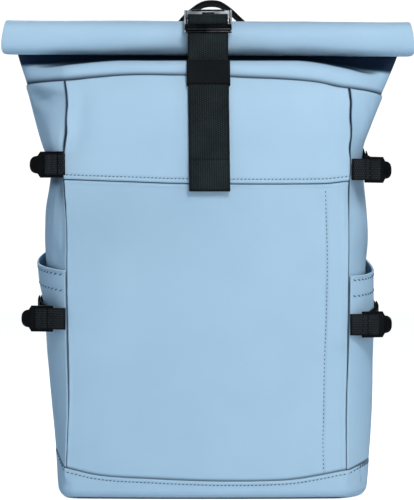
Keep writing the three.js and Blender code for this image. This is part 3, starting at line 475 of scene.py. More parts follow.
def slack(at, z):
    """How far the shell's own dents, folds and creases stand out of it. They mostly lie inwards."""
    run = girth_run(at)
    lift = 0
    for fold in FOLDS:
        x, y = run - fold["run"], z - fold["z"]
        if abs(x) > 3 * (fold["wide"] + fold["tall"]) or abs(y) > 3 * (fold["wide"] + fold["tall"]):
            continue
        across = (x * fold["cos"] - y * fold["sin"]) / fold["wide"]
        up = (x * fold["sin"] + y * fold["cos"]) / fold["tall"]
        lift -= fold["deep"] * bell(across, 1) * bell(up, 1)
    for crease in CREASES:
        lift -= crease["deep"] * crease_line(crease, run, z)
    lift += 0.4 * (drift(run, z, 80, 1) - 1) + 0.12 * drift(run, z, 30, 2)
    return lift


def strap_calm(at, z):
    """1 where nothing lies on the shell, 0 under the straps, which rest on it."""
    run = girth_run(at)
    middle = abs(run - FRONT_WIDTH / 2)
    return ease((middle - 21) / 10) if z > FRONT_SEAM_HEIGHT - 16 and at < 1 else 1


def panel_relief(at, z):
    """All that lifts or draws in a panel of the shell."""
    seam = seam_distance(at)
    loose = slack(at, z) * strap_calm(at, z) * ease(seam / 5)
    return loose + groove(seam, 1.1 * drawn_in(z), 0.7) + pucker(z, seam, 9, round(at))


def painted_shade(at, z):
    """Painted shade in the crevices of the seams up the bag: 1 in the middle of one. They are drawn in most at the
    top.
    """
    high = ease((z - 250) / 60)
    low = mix(0.6, 1.1, ease((z - 60) / 120))
    return min(1, mix(low, 1.9, high) * drawn_in(z) * bell(seam_distance(at), mix(0.65, 1.05, high)))


def drawn_in(z):
    """How hard the seams up the bag are drawn in at a height."""
    return mix(mix(0.3, 0.75, ease((z - 60) / 90)), 1, ease((z - 260) / 60))


def wander(at, z):
    """A seam up the bag isn't quite straight: the place along the girth, moved by its small waves."""
    distance = seam_distance(at)
    if distance > 40:
        return at
    wave = 0.9 * drift(3 * round(at), z, 15, 21) * ease((z - 250) / 60)
    wave += 0.5 * drift(3 * round(at), z, 60, 22)
    return at + wave * bell(distance, 12) / GIRTH[int(at % 4)]


# Pieces

def finish_piece(bm, name, material, slot, *nodes, smooth=True, welded=False):
    """A mesh in millimetres becomes a piece in metres, riding on the frame and standing for its nodes."""
    if welded:
        bmesh.ops.remove_doubles(bm, verts=bm.verts, dist=0.01)
    bmesh.ops.scale(bm, vec=Vector((MM, MM, MM)), verts=bm.verts)
    for face in bm.faces:
        face.smooth = smooth
    mesh = bpy.data.meshes.new(name)
    bm.to_mesh(mesh)
    bm.free()
    mesh.materials.append(material)
    piece = bpy.data.objects.new(name, mesh)
    SCENE.collection.objects.link(piece)
    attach(piece, "root")
    if nodes:
        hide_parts(*nodes)
    return piece


def thicken(piece, thick, offset=-1, even=True):
    wall = piece.modifiers.new("wall", "SOLIDIFY")
    wall.thickness = thick * MM
    wall.offset = offset
    wall.use_even_offset = even
    wall.use_quality_normals = True
    return piece


def gather(t, strength):
    """Moves places in 0..1 towards both ends, so that a grid is finer along its edges."""
    return t - strength * math.sin(2 * math.pi * t) / (2 * math.pi)


def cloth_grid(columns, rows, place, flip=False, gathered=(0.9, 0.85)):
    """A grid laid where place(s, t) says, s and t both 0..1, with the painted shade that it gives each point."""
    bm = bmesh.new()
    bmesh.ops.create_grid(bm, x_segments=columns, y_segments=rows, size=0.5)
    shade = bm.verts.layers.float.new("painted_shade")
    for vert in bm.verts:
        s = gather(vert.co.x + 0.5, gathered[0])
        t = gather(vert.co.y + 0.5, gathered[1])
        vert.co, vert[shade] = place(round(s, 6), round(t, 6))
    if flip:
        bmesh.ops.reverse_faces(bm, faces=bm.faces)
    return bm


def smooth_line(points, extras, step):
    """Catmull-Rom through the points, in steps of about `step`, with `extras` carried along."""
    line, carried = [], []
    last = len(points) - 1
    for i in range(last):
        a, b, c, d = points[max(i - 1, 0)], points[i], points[i + 1], points[min(i + 2, last)]
        span = (c - b).length
        if span < 1e-6:
            continue
        into = (c - a) * span / max((b - a).length + span, 1e-6) if i else (c - b)
        out = (d - b) * span / max((d - c).length + span, 1e-6) if i < last - 1 else (c - b)
        count = max(1, math.ceil(span / step))
        for k in range(count):
            t = k / count
            line.append(
                b * (2 * t**3 - 3 * t * t + 1) + into * (t**3 - 2 * t * t + t)
                + c * (3 * t * t - 2 * t**3) + out * (t**3 - t * t)
            )
            carried.append(extras[i].lerp(extras[i + 1], t))
    return [*line, points[last]], [*carried, extras[last]]


PROFILE_CORNER = 3  # points round each corner of a web's section


def flat_profile(width, thick, corner):
    """A web's section, as (across, deep) round its edge, and how far across each point lies."""
    half_w, half_t = width / 2 - corner, thick / 2 - corner
    spots = []
    flat = max(4, int(width / 2))
    for k in range(flat):
        spots.append((mix(-half_w, half_w, k / flat), -thick / 2))
    for centre_w, centre_t, start in ((half_w, -half_t, -90), (half_w, half_t, 0)):
        spots += arc(centre_w, centre_t, corner, start, start + 90, PROFILE_CORNER)
    for k in range(1, flat):
        spots.append((mix(half_w, -half_w, k / flat), thick / 2))
    for centre_w, centre_t, start in ((-half_w, half_t, 90), (-half_w, -half_t, 180)):
        spots += arc(centre_w, centre_t, corner, start, start + 90, PROFILE_CORNER)
    return spots[:-1]


def ring_edges(bm, ring):
    return [bm.edges.get((a, b)) or bm.edges.new((a, b)) for a, b in zip(ring, ring[1:] + ring[:1])]


def pull_ring(bm, ring, places):
    """A ring of points at the places, new or pulled along from the last one, and the faces this makes."""
    if ring is None:
        fresh = [bm.verts.new(place) for place in places]
        ring_edges(bm, fresh)
        return fresh, []
    pulled = bmesh.ops.extrude_edge_only(bm, edges=ring_edges(bm, ring))["geom"]
    old = {vert: k for k, vert in enumerate(ring)}
    fresh = [None] * len(ring)
    for vert in (g for g in pulled if isinstance(g, bmesh.types.BMVert)):
        for edge in vert.link_edges:
            if edge.other_vert(vert) in old:
                fresh[old[edge.other_vert(vert)]] = vert
    for vert, place in zip(fresh, places):
        vert.co = place
    return fresh, [g for g in pulled if isinstance(g, bmesh.types.BMFace)]


def band_mesh(line, across, width, thick, step=2.0, closed=False, corner=None, bm=None, dark=None):
    """Webbing along a line: its section is pulled along, turned with `across`, and its ends are shut."""
    corner = min(thick * 0.49, 0.5) if corner is None else corner
    profile = flat_profile(width, thick, corner)
    across = [across] * len(line) if isinstance(across, Vector) else across
    spots, wides = smooth_line(line, across, step)
    bm = bm or bmesh.new()
    uv = bm.loops.layers.uv.verify()
    shade = bm.verts.layers.float.get("painted_shade") or bm.verts.layers.float.new("painted_shade")
    ring, run, run_before = None, 0.0, 0.0
    count = len(profile)
    last = len(spots) - 1
    for i, spot in enumerate(spots):
        ahead = spots[(i + 1) % last] if closed and i == last else spots[min(i + 1, last)]
        behind = spots[i - 1] if i else (spots[last - 1] if closed else spots[0])
        way = (ahead - behind).normalized()
        wide = (wides[i] - way * wides[i].dot(way)).normalized()
        deep = way.cross(wide)
        if i:
            run += (spot - spots[i - 1]).length
        fresh, faces = pull_ring(bm, ring, [spot + wide * w + deep * d for w, d in profile])
        if ring is None:
            first = fresh
        else:
            index = {v: (k, run) for k, v in enumerate(fresh)}
            index.update({v: (k, run_before) for k, v in enumerate(ring)})
            for face in faces:
                for loop in face.loops:
                    k, length = index[loop.vert]
                    loop[uv].uv = (length, profile[k][0])
        # Painted shade: the cut ends, the places that `dark` gives, and the two edges of a web wider than 4 mm go
        # dark.
        shaded = 1 if i in (0, last) and not closed else (dark(spot) if dark else 0)
        for k, vert in enumerate(fresh):
            edge_shade = ease((abs(profile[k][0]) / (width / 2) - 0.9) / 0.1)
            vert[shade] = max(shaded, edge_shade) if width > 4 else 0
        ring, run_before = fresh, run
    if closed:
        bmesh.ops.remove_doubles(bm, verts=[*first, *ring], dist=0.02)
    else:
        bmesh.ops.holes_fill(bm, edges=[*ring_edges(bm, first), *ring_edges(bm, ring)], sides=count)
    bmesh.ops.recalc_face_normals(bm, faces=bm.faces)
    return bm


def band(name, line, across, width, thick, material, slot, *nodes, **settings):
    bm = band_mesh(line, across, width, thick, **settings)
    return finish_piece(bm, name, material, slot, *nodes)


def stitches(name, spots, material, slot, long=2.0, wide=0.9, slant=14):
    """A row of stitches, each turned a little across the row. Each spot is (place, way on, way out)."""
    bm = bmesh.new()
    for place, way, out in spots:
        side = out.cross(way).normalized()
        out = way.cross(side).normalized()
        turned = Matrix((way, side, out)).transposed().to_4x4() @ Matrix.Rotation(math.radians(slant), 4, "Z")
        shaped = Matrix.Diagonal((long / 2, wide / 2, wide / 2, 1)) @ Matrix.Rotation(math.pi / 2, 4, "Y")
        shape = Matrix.Translation(place + out * STITCH_LIFT) @ turned @ shaped
        bmesh.ops.create_uvsphere(bm, u_segments=6, v_segments=5, radius=1, matrix=shape)
    return finish_piece(bm, name, material, slot)


def stitch_spots(place, out_of, start, end, pitch, length):
    """Stitch places along place(t), t from start to end, at an even pitch."""
    count = max(2, round(length / pitch))
    spots = []
    for k in range(count):
        t = mix(start, end, (k + 0.5) / count)
        small = 0.25 * (end - start) / count
        way = (place(t + small) - place(t - small)).normalized()
        spots.append((place(t), way, out_of(t)))
    return spots


# Materials

def blank(name):
    material = bpy.data.materials.new(name)
    material.use_nodes = True
    tree = material.node_tree
    return material, tree, tree.nodes["Principled BSDF"]


def add(tree, kind, inputs=None, **settings):
    node = tree.nodes.new(kind)
    for key, value in settings.items():
        setattr(node, key, value)
    for key, value in (inputs or {}).items():
        if isinstance(value, bpy.types.NodeSocket):
            tree.links.new(value, node.inputs[key])
        else:
            node.inputs[key].default_value = value
    return node


def maths(tree, operation, a, b=0.0):
    return add(tree, "ShaderNodeMath", {0: a, 1: b}, operation=operation).outputs[0]


def blend(tree, first, first_share, second, second_share):
    parts = maths(tree, "MULTIPLY", first, first_share), maths(tree, "MULTIPLY", second, second_share)
    return maths(tree, "ADD", *parts)


def spread(tree, value, low, high, to_low, to_high):
    return add(
        tree, "ShaderNodeMapRange",
        {"Value": value, "From Min": low, "From Max": high, "To Min": to_low, "To Max": to_high},
    ).outputs[0]


def shades(tree, factor, low, high):
    """A colour between two linear ones."""
    return add(tree, "ShaderNodeMix", {0: factor, 6: (*low, 1), 7: (*high, 1)}, data_type="RGBA").outputs[2]


def with_painted_shade(tree, colour, dark, most):
    """A colour darkened by the painted shade that the piece's shade attribute holds."""
    shade = add(tree, "ShaderNodeAttribute", attribute_name="painted_shade").outputs["Fac"]
    share = maths(tree, "MULTIPLY", shade, most)
    return add(tree, "ShaderNodeMix", {0: share, 6: colour, 7: (*dark, 1)}, data_type="RGBA").outputs[2]


def on_piece(tree):
    return add(tree, "ShaderNodeTexCoord").outputs["Object"]


def mottle(tree, place, scale, detail=3, rough=0.5):
    inputs = {"Vector": place, "Scale": scale, "Detail": detail, "Roughness": rough}
    return add(tree, "ShaderNodeTexNoise", inputs).outputs[0]


def raised(tree, height, strength, distance, **more):
    inputs = {"Height": height, "Strength": strength, "Distance": distance, **more}
    return add(tree, "ShaderNodeBump", inputs).outputs[0]


def surface(tree, shader, colour, rough, relief):
    for value, socket in ((colour, "Base Color"), (rough, "Roughness"), (relief, "Normal")):
        tree.links.new(value, shader.inputs[socket])


def linear(red, green, blue):
    """A colour as it is seen on a screen, 0..255, as the light that makes it."""
    return tuple(((c / 255) ** 2.2) for c in (red, green, blue))


def coated_fabric(name, low, high, rough):
    """Smooth coated fabric: a fine grain, soft clouds in its colour and faint rubbed patches."""
    material, tree, shader = blank(name)
    place = on_piece(tree)
    clouds, rubbed = mottle(tree, place, 9, rough=0.55), mottle(tree, place, 38, 4, 0.6)
    grain = mottle(tree, place, 1500, 2)
    inputs = {"Vector": place, "Scale": 1150}
    pebble = add(tree, "ShaderNodeTexVoronoi", inputs, feature="SMOOTH_F1").outputs[0]
    colour = shades(tree, spread(tree, blend(tree, clouds, 0.8, grain, 0.2), 0.35, 0.65, 0, 1), low, high)
    fine = raised(tree, blend(tree, pebble, 0.6, grain, 0.5), 0.12, 0.0002)
    surface(
        # Painted shade: the shade attribute deepens the colour to near black blue.
        tree, shader, with_painted_shade(tree, colour, (0.002, 0.012, 0.034), 0.98),
        spread(tree, rubbed, 0.3, 0.7, rough - 0.05, rough + 0.07),
        raised(tree, rubbed, 0.12, 0.0012, Normal=fine),
    )
    shader.inputs["Specular IOR Level"].default_value = 0.14
    return material


def woven_web(name, low, high, ribs, cross, depth=0.00035):
    """Woven webbing on its own UV, in millimetres: ribs run along it, crossed by the finer weft."""
    material, tree, shader = blank(name)
    uv = add(tree, "ShaderNodeTexCoord").outputs["UV"]
    run, across = add(tree, "ShaderNodeSeparateXYZ", {0: uv}).outputs[:2]
    rib = maths(tree, "SINE", maths(tree, "MULTIPLY", across, 2 * math.pi / ribs))
    shift = maths(tree, "MULTIPLY", maths(tree, "SIGN", rib), math.pi / 2)
    weft = maths(tree, "SINE", maths(tree, "ADD", maths(tree, "MULTIPLY", run, 2 * math.pi / cross), shift))
    weave = blend(tree, maths(tree, "ABSOLUTE", rib), 0.65, weft, 0.35)
    fibres, worn = mottle(tree, on_piece(tree), 900), mottle(tree, on_piece(tree), 45)
    tone = blend(tree, weave, 0.55, fibres, 0.45)
    tone = maths(tree, "ADD", tone, maths(tree, "MULTIPLY", maths(tree, "SUBTRACT", worn, 0.5), 0.5))
    colour = shades(tree, spread(tree, tone, 0.2, 0.8, 0, 1), low, high)
    surface(
        # Painted shade: the shade attribute deepens the colour to near black at cut ends, edges and folds.
        tree, shader, with_painted_shade(tree, colour, (0.002, 0.002, 0.0025), 0.85),
        spread(tree, tone, 0, 1, 0.74, 0.9), raised(tree, blend(tree, weave, 1, fibres, 0.4), 0.55, depth),
    )
    shader.inputs["Specular IOR Level"].default_value = 0.12
    return material


def moulded_plastic(name):
    """Black moulded plastic with a fine satin grain."""
    material, tree, shader = blank(name)
    flow, grain = mottle(tree, on_piece(tree), 60), mottle(tree, on_piece(tree), 1700, 2)
    surface(
        tree, shader, shades(tree, flow, (0.0015, 0.0015, 0.002), (0.004, 0.004, 0.0045)),
        spread(tree, flow, 0.3, 0.7, 0.36, 0.5), raised(tree, grain, 0.2, 0.00008),
    )
    shader.inputs["Specular IOR Level"].default_value = 0.08
    return material


def steel(name, low, high, rough, metallic):
    """Steel, brushed along its length and rubbed a little brighter in places."""
    material, tree, shader = blank(name)
    place = on_piece(tree)
    stretched = add(tree, "ShaderNodeMapping", {"Vector": place, "Scale": (40, 900, 900)}).outputs[0]
    brushed, rubbed = mottle(tree, stretched, 1), mottle(tree, place, 90)
    surface(
        tree, shader, shades(tree, spread(tree, rubbed, 0.35, 0.65, 0, 1), low, high),
        spread(tree, brushed, 0.3, 0.7, rough, rough + 0.12), raised(tree, brushed, 0.1, 0.0001),
    )
    shader.inputs["Metallic"].default_value = metallic
    return material


def spacer_mesh(name):
    """Black knitted mesh over foam: rows of small holes."""
    material, tree, shader = blank(name)
    place = on_piece(tree)
    inputs = {"Vector": place, "Scale": 420, "Randomness": 0.25}
    holes = add(tree, "ShaderNodeTexVoronoi", inputs, feature="F1").outputs[0]
    inputs = {"Value": holes, "From Min": 0.18, "From Max": 0.42}
    knit = add(tree, "ShaderNodeMapRange", inputs, interpolation_type="SMOOTHSTEP").outputs[0]
    tone = blend(tree, knit, 0.75, mottle(tree, place, 1300, 2), 0.25)
    surface(
        tree, shader, shades(tree, tone, (0.004, 0.0045, 0.005), (0.03, 0.032, 0.034)),
        spread(tree, tone, 0, 1, 0.95, 0.75), raised(tree, tone, 0.7, 0.0006),
    )
    shader.inputs["Sheen Weight"].default_value = 0.15
    return material


def sewing_thread(name, low, high):
    material, tree, shader = blank(name)
    inputs = {"Vector": on_piece(tree), "Scale": 500, "Distortion": 1.5}
    ply = add(tree, "ShaderNodeTexWave", inputs, bands_direction="DIAGONAL").outputs[1]
    surface(
        tree, shader, shades(tree, ply, low, high),
        spread(tree, ply, 0, 1, 0.55, 0.75), raised(tree, ply, 0.4, 0.0001),
    )
    return material


FABRIC = coated_fabric("sky_blue_coated_fabric", linear(160, 189, 209), linear(167, 195, 214), 0.5)
WEBBING = woven_web("black_webbing", (0.0012, 0.0022, 0.0026), (0.022, 0.031, 0.032), 4.2, 2.1)
NARROW_WEBBING = woven_web("black_side_webbing", (0.0008, 0.0012, 0.0015), (0.026, 0.03, 0.033), 4.4, 2.0)
ELASTIC = woven_web("black_elastic", (0.001, 0.0016, 0.002), (0.009, 0.0115, 0.0135), 3.4, 3.0, 0.0003)
PLASTIC = moulded_plastic("black_moulded_plastic")
METAL = steel("blackened_steel", (0.01, 0.01, 0.011), (0.035, 0.035, 0.037), 0.2, 1.0)
# Painted highlight: the lighter steel on the hook's top plate, middle bar and rails stands for the shine on its
# blackened steel.
BRIGHT_METAL = steel("steel_painted_highlight", (0.28, 0.28, 0.285), (0.78, 0.78, 0.79), 0.28, 0.55)
SPACER = spacer_mesh("black_spacer_mesh")
BLUE_THREAD = sewing_thread("blue_thread", linear(16, 36, 56), linear(44, 72, 98))


# The shell's panels

FRONT_COLUMNS = 100
SIDE_COLUMNS = 50


def lap_out(at, z):
    """How far the upper front panel stands off the shell, to lie over the lower one."""
    return (LAP_GAP + WALL) * (1 - ease((z - front_height(at)) / LAP_EASE))


def short_of_seams(part, s, width):
    gap = SEAM_GAP / 2 / width
    return part + mix(gap, 1 - gap, s)


def upper_relief(at, z):
    low, high = z - front_height(at), arch_height(at) - z
    lift = panel_relief(at, z)
    lift += groove(abs(low - SEAM_ALLOWANCE), 0.45, 0.9) - 0.9 * bell(low, 0.8) - 0.9 * bell(high, 1.0)
    lift += pucker(girth_run(at), low - 3, 6, 5) + 0.5 * pucker(girth_run(at), high, 11, 8)
    return lift


def front_upper():
    def place(s, t):
        at = short_of_seams(0, s, FRONT_WIDTH)
        z = mix(front_height(at), arch_height(at), t)
        sewn = z - front_height(at) - SEAM_ALLOWANCE
        # Painted shade: in the crevices of the seams, a dark line along the arch seam at the top edge, and a faint
        # one along the stitching.
        shade = max(painted_shade(at, z), 0.75 * bell(arch_height(at) - z, 0.6), 0.12 * bell(sewn, 1))
        return skin(wander(at, z), z, lap_out(at, z) + upper_relief(at, z)), shade
    bm = cloth_grid(FRONT_COLUMNS, 48, place)
    return thicken(finish_piece(bm, "front_upper", FABRIC, "shell", "front_upper_panel"), WALL)


def vertical_stitch_at(z):
    """The line sewn down the lower front panel, beside its right seam."""
    x = through(VERTICAL_STITCHES, "z", "x", z)
    left, right = -share_at("seam_left", z) * FRONT_WIDTH / 2, share_at("seam_right", z) * FRONT_WIDTH / 2
    return (x - left) / (right - left)


def front_lower():
    def place(s, t):
        at = short_of_seams(0, s, FRONT_WIDTH)
        z = mix(base_height(at) - LAP, front_height(at) + LAP, t)
        low, high = z - base_height(at), front_height(at) - z
        lift = panel_relief(at, z)
        sewn = abs(at - vertical_stitch_at(z)) * FRONT_WIDTH
        lift += groove(sewn, 0.4, 0.9) + 0.25 * pucker(z, sewn, 5, 4)
        lift += 0.6 * bell(high - 2.6, 1.3) - 0.9 * bell(low - 0.2, 1.4)
        lift = mix(min(lift, 0.2), lift, ease(high / 2))
        # Painted shade: the shadow under the upper panel's lap, the crevice above the base's rim, a faint line along
        # the stitching, the seams' crevices and the painted shadows of SHELTERS.
        edges = max(0.95 * bell(max(0, high - 0.4), 0.8), 0.75 * bell(max(0, low - 0.3), 0.6))
        shade = max(painted_shade(at, z), edges, 0.2 * bell(sewn, 0.8), shelter(at, z))
        return skin(wander(at, z), z, lift), shade
    bm = cloth_grid(FRONT_COLUMNS, 110, place)
    return thicken(finish_piece(bm, "front_lower", FABRIC, "shell", "front_pocket_panel"), WALL)


def side_or_back(name, part, width, columns, node):
    def place(s, t):
        at = short_of_seams(part, s, width)
        z = mix(base_height(at) - LAP, arch_height(at), t)
        high = arch_height(at) - z
        lift = panel_relief(at, z) - 0.7 * bell(high, 1.2) + 0.6 * pucker(girth_run(at), high, 11, part + 20)
        low = z - base_height(at)
        lift = mix(min(lift, 0), lift, ease(low / 6))
        # Painted shade: in the seams' crevices, along the top edge, above the base's rim, inside the pockets below
        # their mouths, in the creases and where SHELTERS keeps the light off.
        shade = max(painted_shade(at, z), 0.75 * bell(high, 0.6), 0.75 * bell(max(0, low - 0.3), 0.6))
        if part != 2:
            below = pocket_top(*((1, at - 1) if part == 1 else (-1, 4 - at))) - z
            shade = max(shade, 0.8 * ease((below + 1) / 4))
        return skin(wander(at, z), z, lift), max(shade, shelter(at, z), crease_shade(at, z))
    return thicken(finish_piece(cloth_grid(columns, 140, place), name, FABRIC, "shell", node), WALL)


def rounded_skin(at, z, out, share):
    """A place on the shell, its sharp corners rounded by a share: the mean of places along the girth."""
    spot = skin(at, z, out)
    if share <= 0 or seam_distance(at) > 14:
        return spot
    mean = spot.copy()
    for step in (-9, -6, -3, 3, 6, 9):
        mean += skin(at_girth(girth_run(at) + step), z, out)
    return spot.lerp(mean / 7, share)


def base():
    """The dished base: its rim laps over the panels, and its edge rounds over to the flat bottom."""
    rim, flat = 0.3, 0.4  # of the grid, up the rim and on the bottom; the edge rounds over between them
    spine_end, spine_y = 80, 4  # the line along the bottom that the edge rounds in from
    contact = 2.4  # how high the shade of the floor reaches

    def place(s, t):
        at = min(int(4 * s), 3)
        at += gather(4 * s - at, 0.85)
        if t > 1 - rim:
            z = mix(BASE_EDGE, base_height(at), (t - 1 + rim) / rim)
            low = base_height(at) - z
            lift = groove(abs(low - BASE_ALLOWANCE), 0.3, 0.8) - 0.8 * bell(low, 0.9)
            lift += pucker(girth_run(at), low - 3, 7, 11)
            lift += 0.35 * (drift(girth_run(at), z, 50, 6) - 0.6)
            for crease in CREASES:
                lift -= crease["deep"] * crease_line(crease, girth_run(at), z)
            # Painted shade in the creases, along the stitching and at the rim's top edge.
            shade = max(crease_shade(at, z), 0.1 * bell(low - BASE_ALLOWANCE, 1), 0.25 * bell(low, 0.5))
            return rounded_skin(at, z, LAP_GAP + WALL + lift, ease((low - 5) / 12)), shade
        lift = 0.35 * (drift(girth_run(at), BASE_EDGE, 50, 6) - 0.6)
        edge = rounded_skin(at, BASE_EDGE, LAP_GAP + WALL + lift, 1)
        spine = Vector((max(-spine_end, min(spine_end, edge.x)), spine_y, BASE_EDGE))
        outward = (edge - spine).normalized()
        angle = clamp((1 - rim - t) / (1 - rim - flat)) * math.pi / 2
        spot = edge - outward * BASE_EDGE * (1 - math.cos(angle))
        spot.z = BASE_EDGE * (1 - math.sin(angle))
        if t < flat:
            spot = Vector((spot.x * t / flat, mix(spine_y, spot.y, t / flat), 0))
        # Painted contact shadow: a dark line along the bottom where it meets the floor, fading out towards the
        # sides.
        return spot, 0.97 * ease((contact - spot.z) / 1.4) * ease((FRONT_WIDTH / 2 - abs(spot.x)) / 12)
    bm = cloth_grid(224, 44, place, gathered=(0, 0))
    return thicken(finish_piece(bm, "base", FABRIC, "shell", "base_panel", welded=True), WALL, even=False)


# The collar and its roll

SHRINK = ROLL_PITCH / (ROLL_DEPTH / 2)


def roll_share(angle):
    return 1 - SHRINK * (angle - ROLL_START) / 360


ROLL_TALL = (ROLL_HEIGHT - ROLL_SHEET) / (roll_share(90) + roll_share(270))
ROLL_DEEP = (ROLL_DEPTH - ROLL_SHEET) / (roll_share(0) + roll_share(180))
ROLL_MIDDLE = BAG_HEIGHT - ROLL_SHEET / 2 - roll_share(90) * ROLL_TALL


def roll_point(angle, out=0.0):
    way = math.radians(angle)
    y = -ROLL_FORWARD + (roll_share(angle) * ROLL_DEEP + out) * math.cos(way)
    return Vector((0, y, ROLL_MIDDLE + (roll_share(angle) * ROLL_TALL + out) * math.sin(way)))


def bezier(a, b, c, d, t):
    return a * (1 - t) ** 3 + b * 3 * t * (1 - t) ** 2 + c * 3 * t * t * (1 - t) + d * t**3


@lru_cache(maxsize=None)
def collar_column(at):
    tuck = -(WALL + 1.6 * LAP_GAP)
    top = roll_point(ROLL_START)
    half = COLLAR_WIDTH / 2
    layer = (ROLL_SHEET + 0.4) / 2
    part = min(int(at % 4), 3)

    def slot(x, y):
        return Vector((x, top.y + y, top.z - 0.35 * ROLL_SHEET - x * math.tan(math.radians(ROLL_TILT))))

    if part == 0:
        end = slot(mix(-0.73, 0.73, at % 4) * half, -layer)
    elif part == 2:
        end = slot(mix(0.8, -0.8, at % 4 - 2) * half, layer)
    else:
        t = at % 4 - 1 if part == 1 else 4 - at % 4
        reach = mix(0.73, 1, 2 * t) if t < 0.5 else mix(1, 0.8, 2 * t - 1)
        opened = math.sqrt(max(0, 1 - (1 - abs(2 * t - 1)) ** 4))
        end = slot((1 if part == 1 else -1) * reach * half, layer * opened * (-1 if t < 0.5 else 1))
    low = skin(at, arch_height(at % 4) - LAP, tuck)
    seam = skin(at, arch_height(at % 4), tuck)
    climb = end.z - seam.z
    upwards = (seam - low).normalized()
    frontness = ease((end.y - seam.y - 10) / 45)
    drop = mix(0.3, 0.75, frontness) * climb
    before = end.lerp(Vector((seam.x, seam.y, end.z)), 0.2 * (1 - frontness)) - Vector((0, 0, drop))
    return low, seam, seam + upwards * climb * 0.34, before, end, frontness


def collar():
    """It stands up from the seam, turns back over a soft shoulder under the roll, and rises behind it."""
    def place(s, t):
        at = 4 * s
        low, seam, rise, before, end, frontness = collar_column(round(at, 5))
        # Painted shade: the tucked part darkens as it comes up to the seam.
        if t < COLLAR_TUCKED:
            return low.lerp(seam, t / COLLAR_TUCKED), 0.9 * ease(t / COLLAR_TUCKED * 3 - 2)
        up = (t - COLLAR_TUCKED) / (1 - COLLAR_TUCKED)
        out = shell_normal(at, arch_height(at % 4))
        straight = bezier(seam, rise, before, end, up)
        apex = mix(SHOULDER_HIGH, SHOULDER_LOW[1 if seam.x > 0 else -1], ease((abs(seam.x) - 80) / 90))
        front = seam + out * COLLAR_PROUD
        shoulder = Vector((*front.lerp(end, 0.3).xy, apex))
        if up < COLLAR_FOLD:
            climb = Vector((*front.xy, mix(seam.z, apex, 0.45)))
            near = Vector((*front.lerp(end, 0.02).xy, apex))
            over = bezier(seam, climb, near, shoulder, up / COLLAR_FOLD)
        else:
            far = Vector((*front.lerp(end, 0.85).xy, apex + 0.5))
            foot = Vector((end.x, end.y, mix(apex, end.z, 0.4)))
            over = bezier(shoulder, far, foot, end, (up - COLLAR_FOLD) / (1 - COLLAR_FOLD))
        spot = straight.lerp(over, frontness)
        ripple = 0.35 * drift(girth_run(at), 40 * up, 30, 9) * math.sin(math.pi * up)
        # Painted shade: the shadow under the roll, on the part folded back and on the front half above the shoulder,
        # and a dark line where the collar comes out of the arch seam.
        folded = ease((up - 0.42) / 0.12) * frontness
        hollow = max(folded, ease((spot.z - apex - 1) / 4) * ease((34 - seam.y) / 24))
        line = mix(2.6, 4.2, ease((-seam.x - 70) / 70)) if seam.x < 0 else 3.0
        return spot + out * ripple, max(hollow, bell(spot.z - seam.z, line))
    bm = cloth_grid(224, 44, place, gathered=(0, 0))
    piece = finish_piece(bm, "collar_tube", FABRIC, "shell", "collar", welded=True)
    return thicken(piece, COLLAR_WALL)


# Soft dents of the roll: across, degrees round it, half sizes of both, and depth.
ROLL_DENTS = table("x angle wide round deep", [
    (-60, 232, 34, 20, 1.5), (-30, 224, 16, 14, 0.8), (42, 232, 24, 22, 1.6), (95, 226, 26, 16, 1.1),
    (-135, 240, 26, 18, 0.9), (148, 238, 24, 16, 0.9), (-100, 160, 50, 22, 0.5), (100, 150, 50, 22, 0.5),
    (0, 130, 30, 30, 0.8), (0, 60, 60, 30, 0.8), (-150, 100, 40, 26, 0.5), (150, 100, 40, 26, 0.5),
])


def roll_surface(x_share, angle):
    half = through(ROLL_ENDS, "angle", "half", angle)
    x = mix(-half, half, x_share)
    square = mix(2.0 + 0.5 * ease((abs(x) - 70) / 110), 3.0, bell(angle - 235, 42))
    way = math.radians(angle)
    c, s = math.cos(way), math.sin(way)
    fuller = 1 / (abs(c) ** square + abs(s) ** square) ** (1 / square)
    out = 0.25 * drift(x, angle * 0.3, 34, 12)
    for dent in ROLL_DENTS:
        out -= dent["deep"] * bell(x - dent["x"], dent["wide"]) * bell(angle - dent["angle"], dent["round"])
    share = roll_share(angle) * fuller
    y = -ROLL_FORWARD + (share * ROLL_DEEP + out) * c
    z = ROLL_MIDDLE + (share * ROLL_TALL + out) * s - x * math.tan(math.radians(ROLL_TILT))
    return Vector((x, y, z))


def rolled_top():
    def place(s, t):
        angle = ROLL_START + 360 * ROLL_TURNS * t
        # Painted shade inside the spiral: the turns within the outer one go dark.
        return roll_surface(s, angle), 0.85 * ease((angle - 330) / 60)
    bm = cloth_grid(110, 220, place, flip=True, gathered=(0.85, 0))
    return thicken(finish_piece(bm, "rolled_top", FABRIC, "shell", "roll"), ROLL_SHEET - 0.2, 0)


# The bottle pockets

def pocket_top(side, t):
    low, high, bend = POCKET_MOUTHS[side]
    return POCKET_HEIGHT * (low + (high - low) * mix(t, t * t, bend))


def pocket_off(side, t, z):
    low = base_height(on_side(side, t))
    up = clamp((z - low) / (pocket_top(side, t) - low))
    swell = through(POCKET_SWELL, "up", "right" if side > 0 else "left", up)
    return LAP_GAP + POCKET_WALL * swell * max(0.0, math.sin(math.pi * t)) ** 0.8


# Soft dents of the pockets: share of the way to the back, height, half sizes of both, and depth.
POCKET_DENTS = {
    -1: [
        (0.28, 184, 15, 8, 1.5), (0.14, 176, 8, 10, 0.9), (0.3, 140, 12, 20, 0.9), (0.5, 100, 16, 40, 0.8),
        (0.75, 150, 14, 30, 0.8),
    ],
    1: [
        (0.25, 179, 12, 8, 1.3), (0.4, 140, 14, 20, 1.0), (0.2, 110, 10, 30, 0.6), (0.6, 100, 16, 40, 0.8),
        (0.8, 160, 14, 30, 0.8),
    ],
}


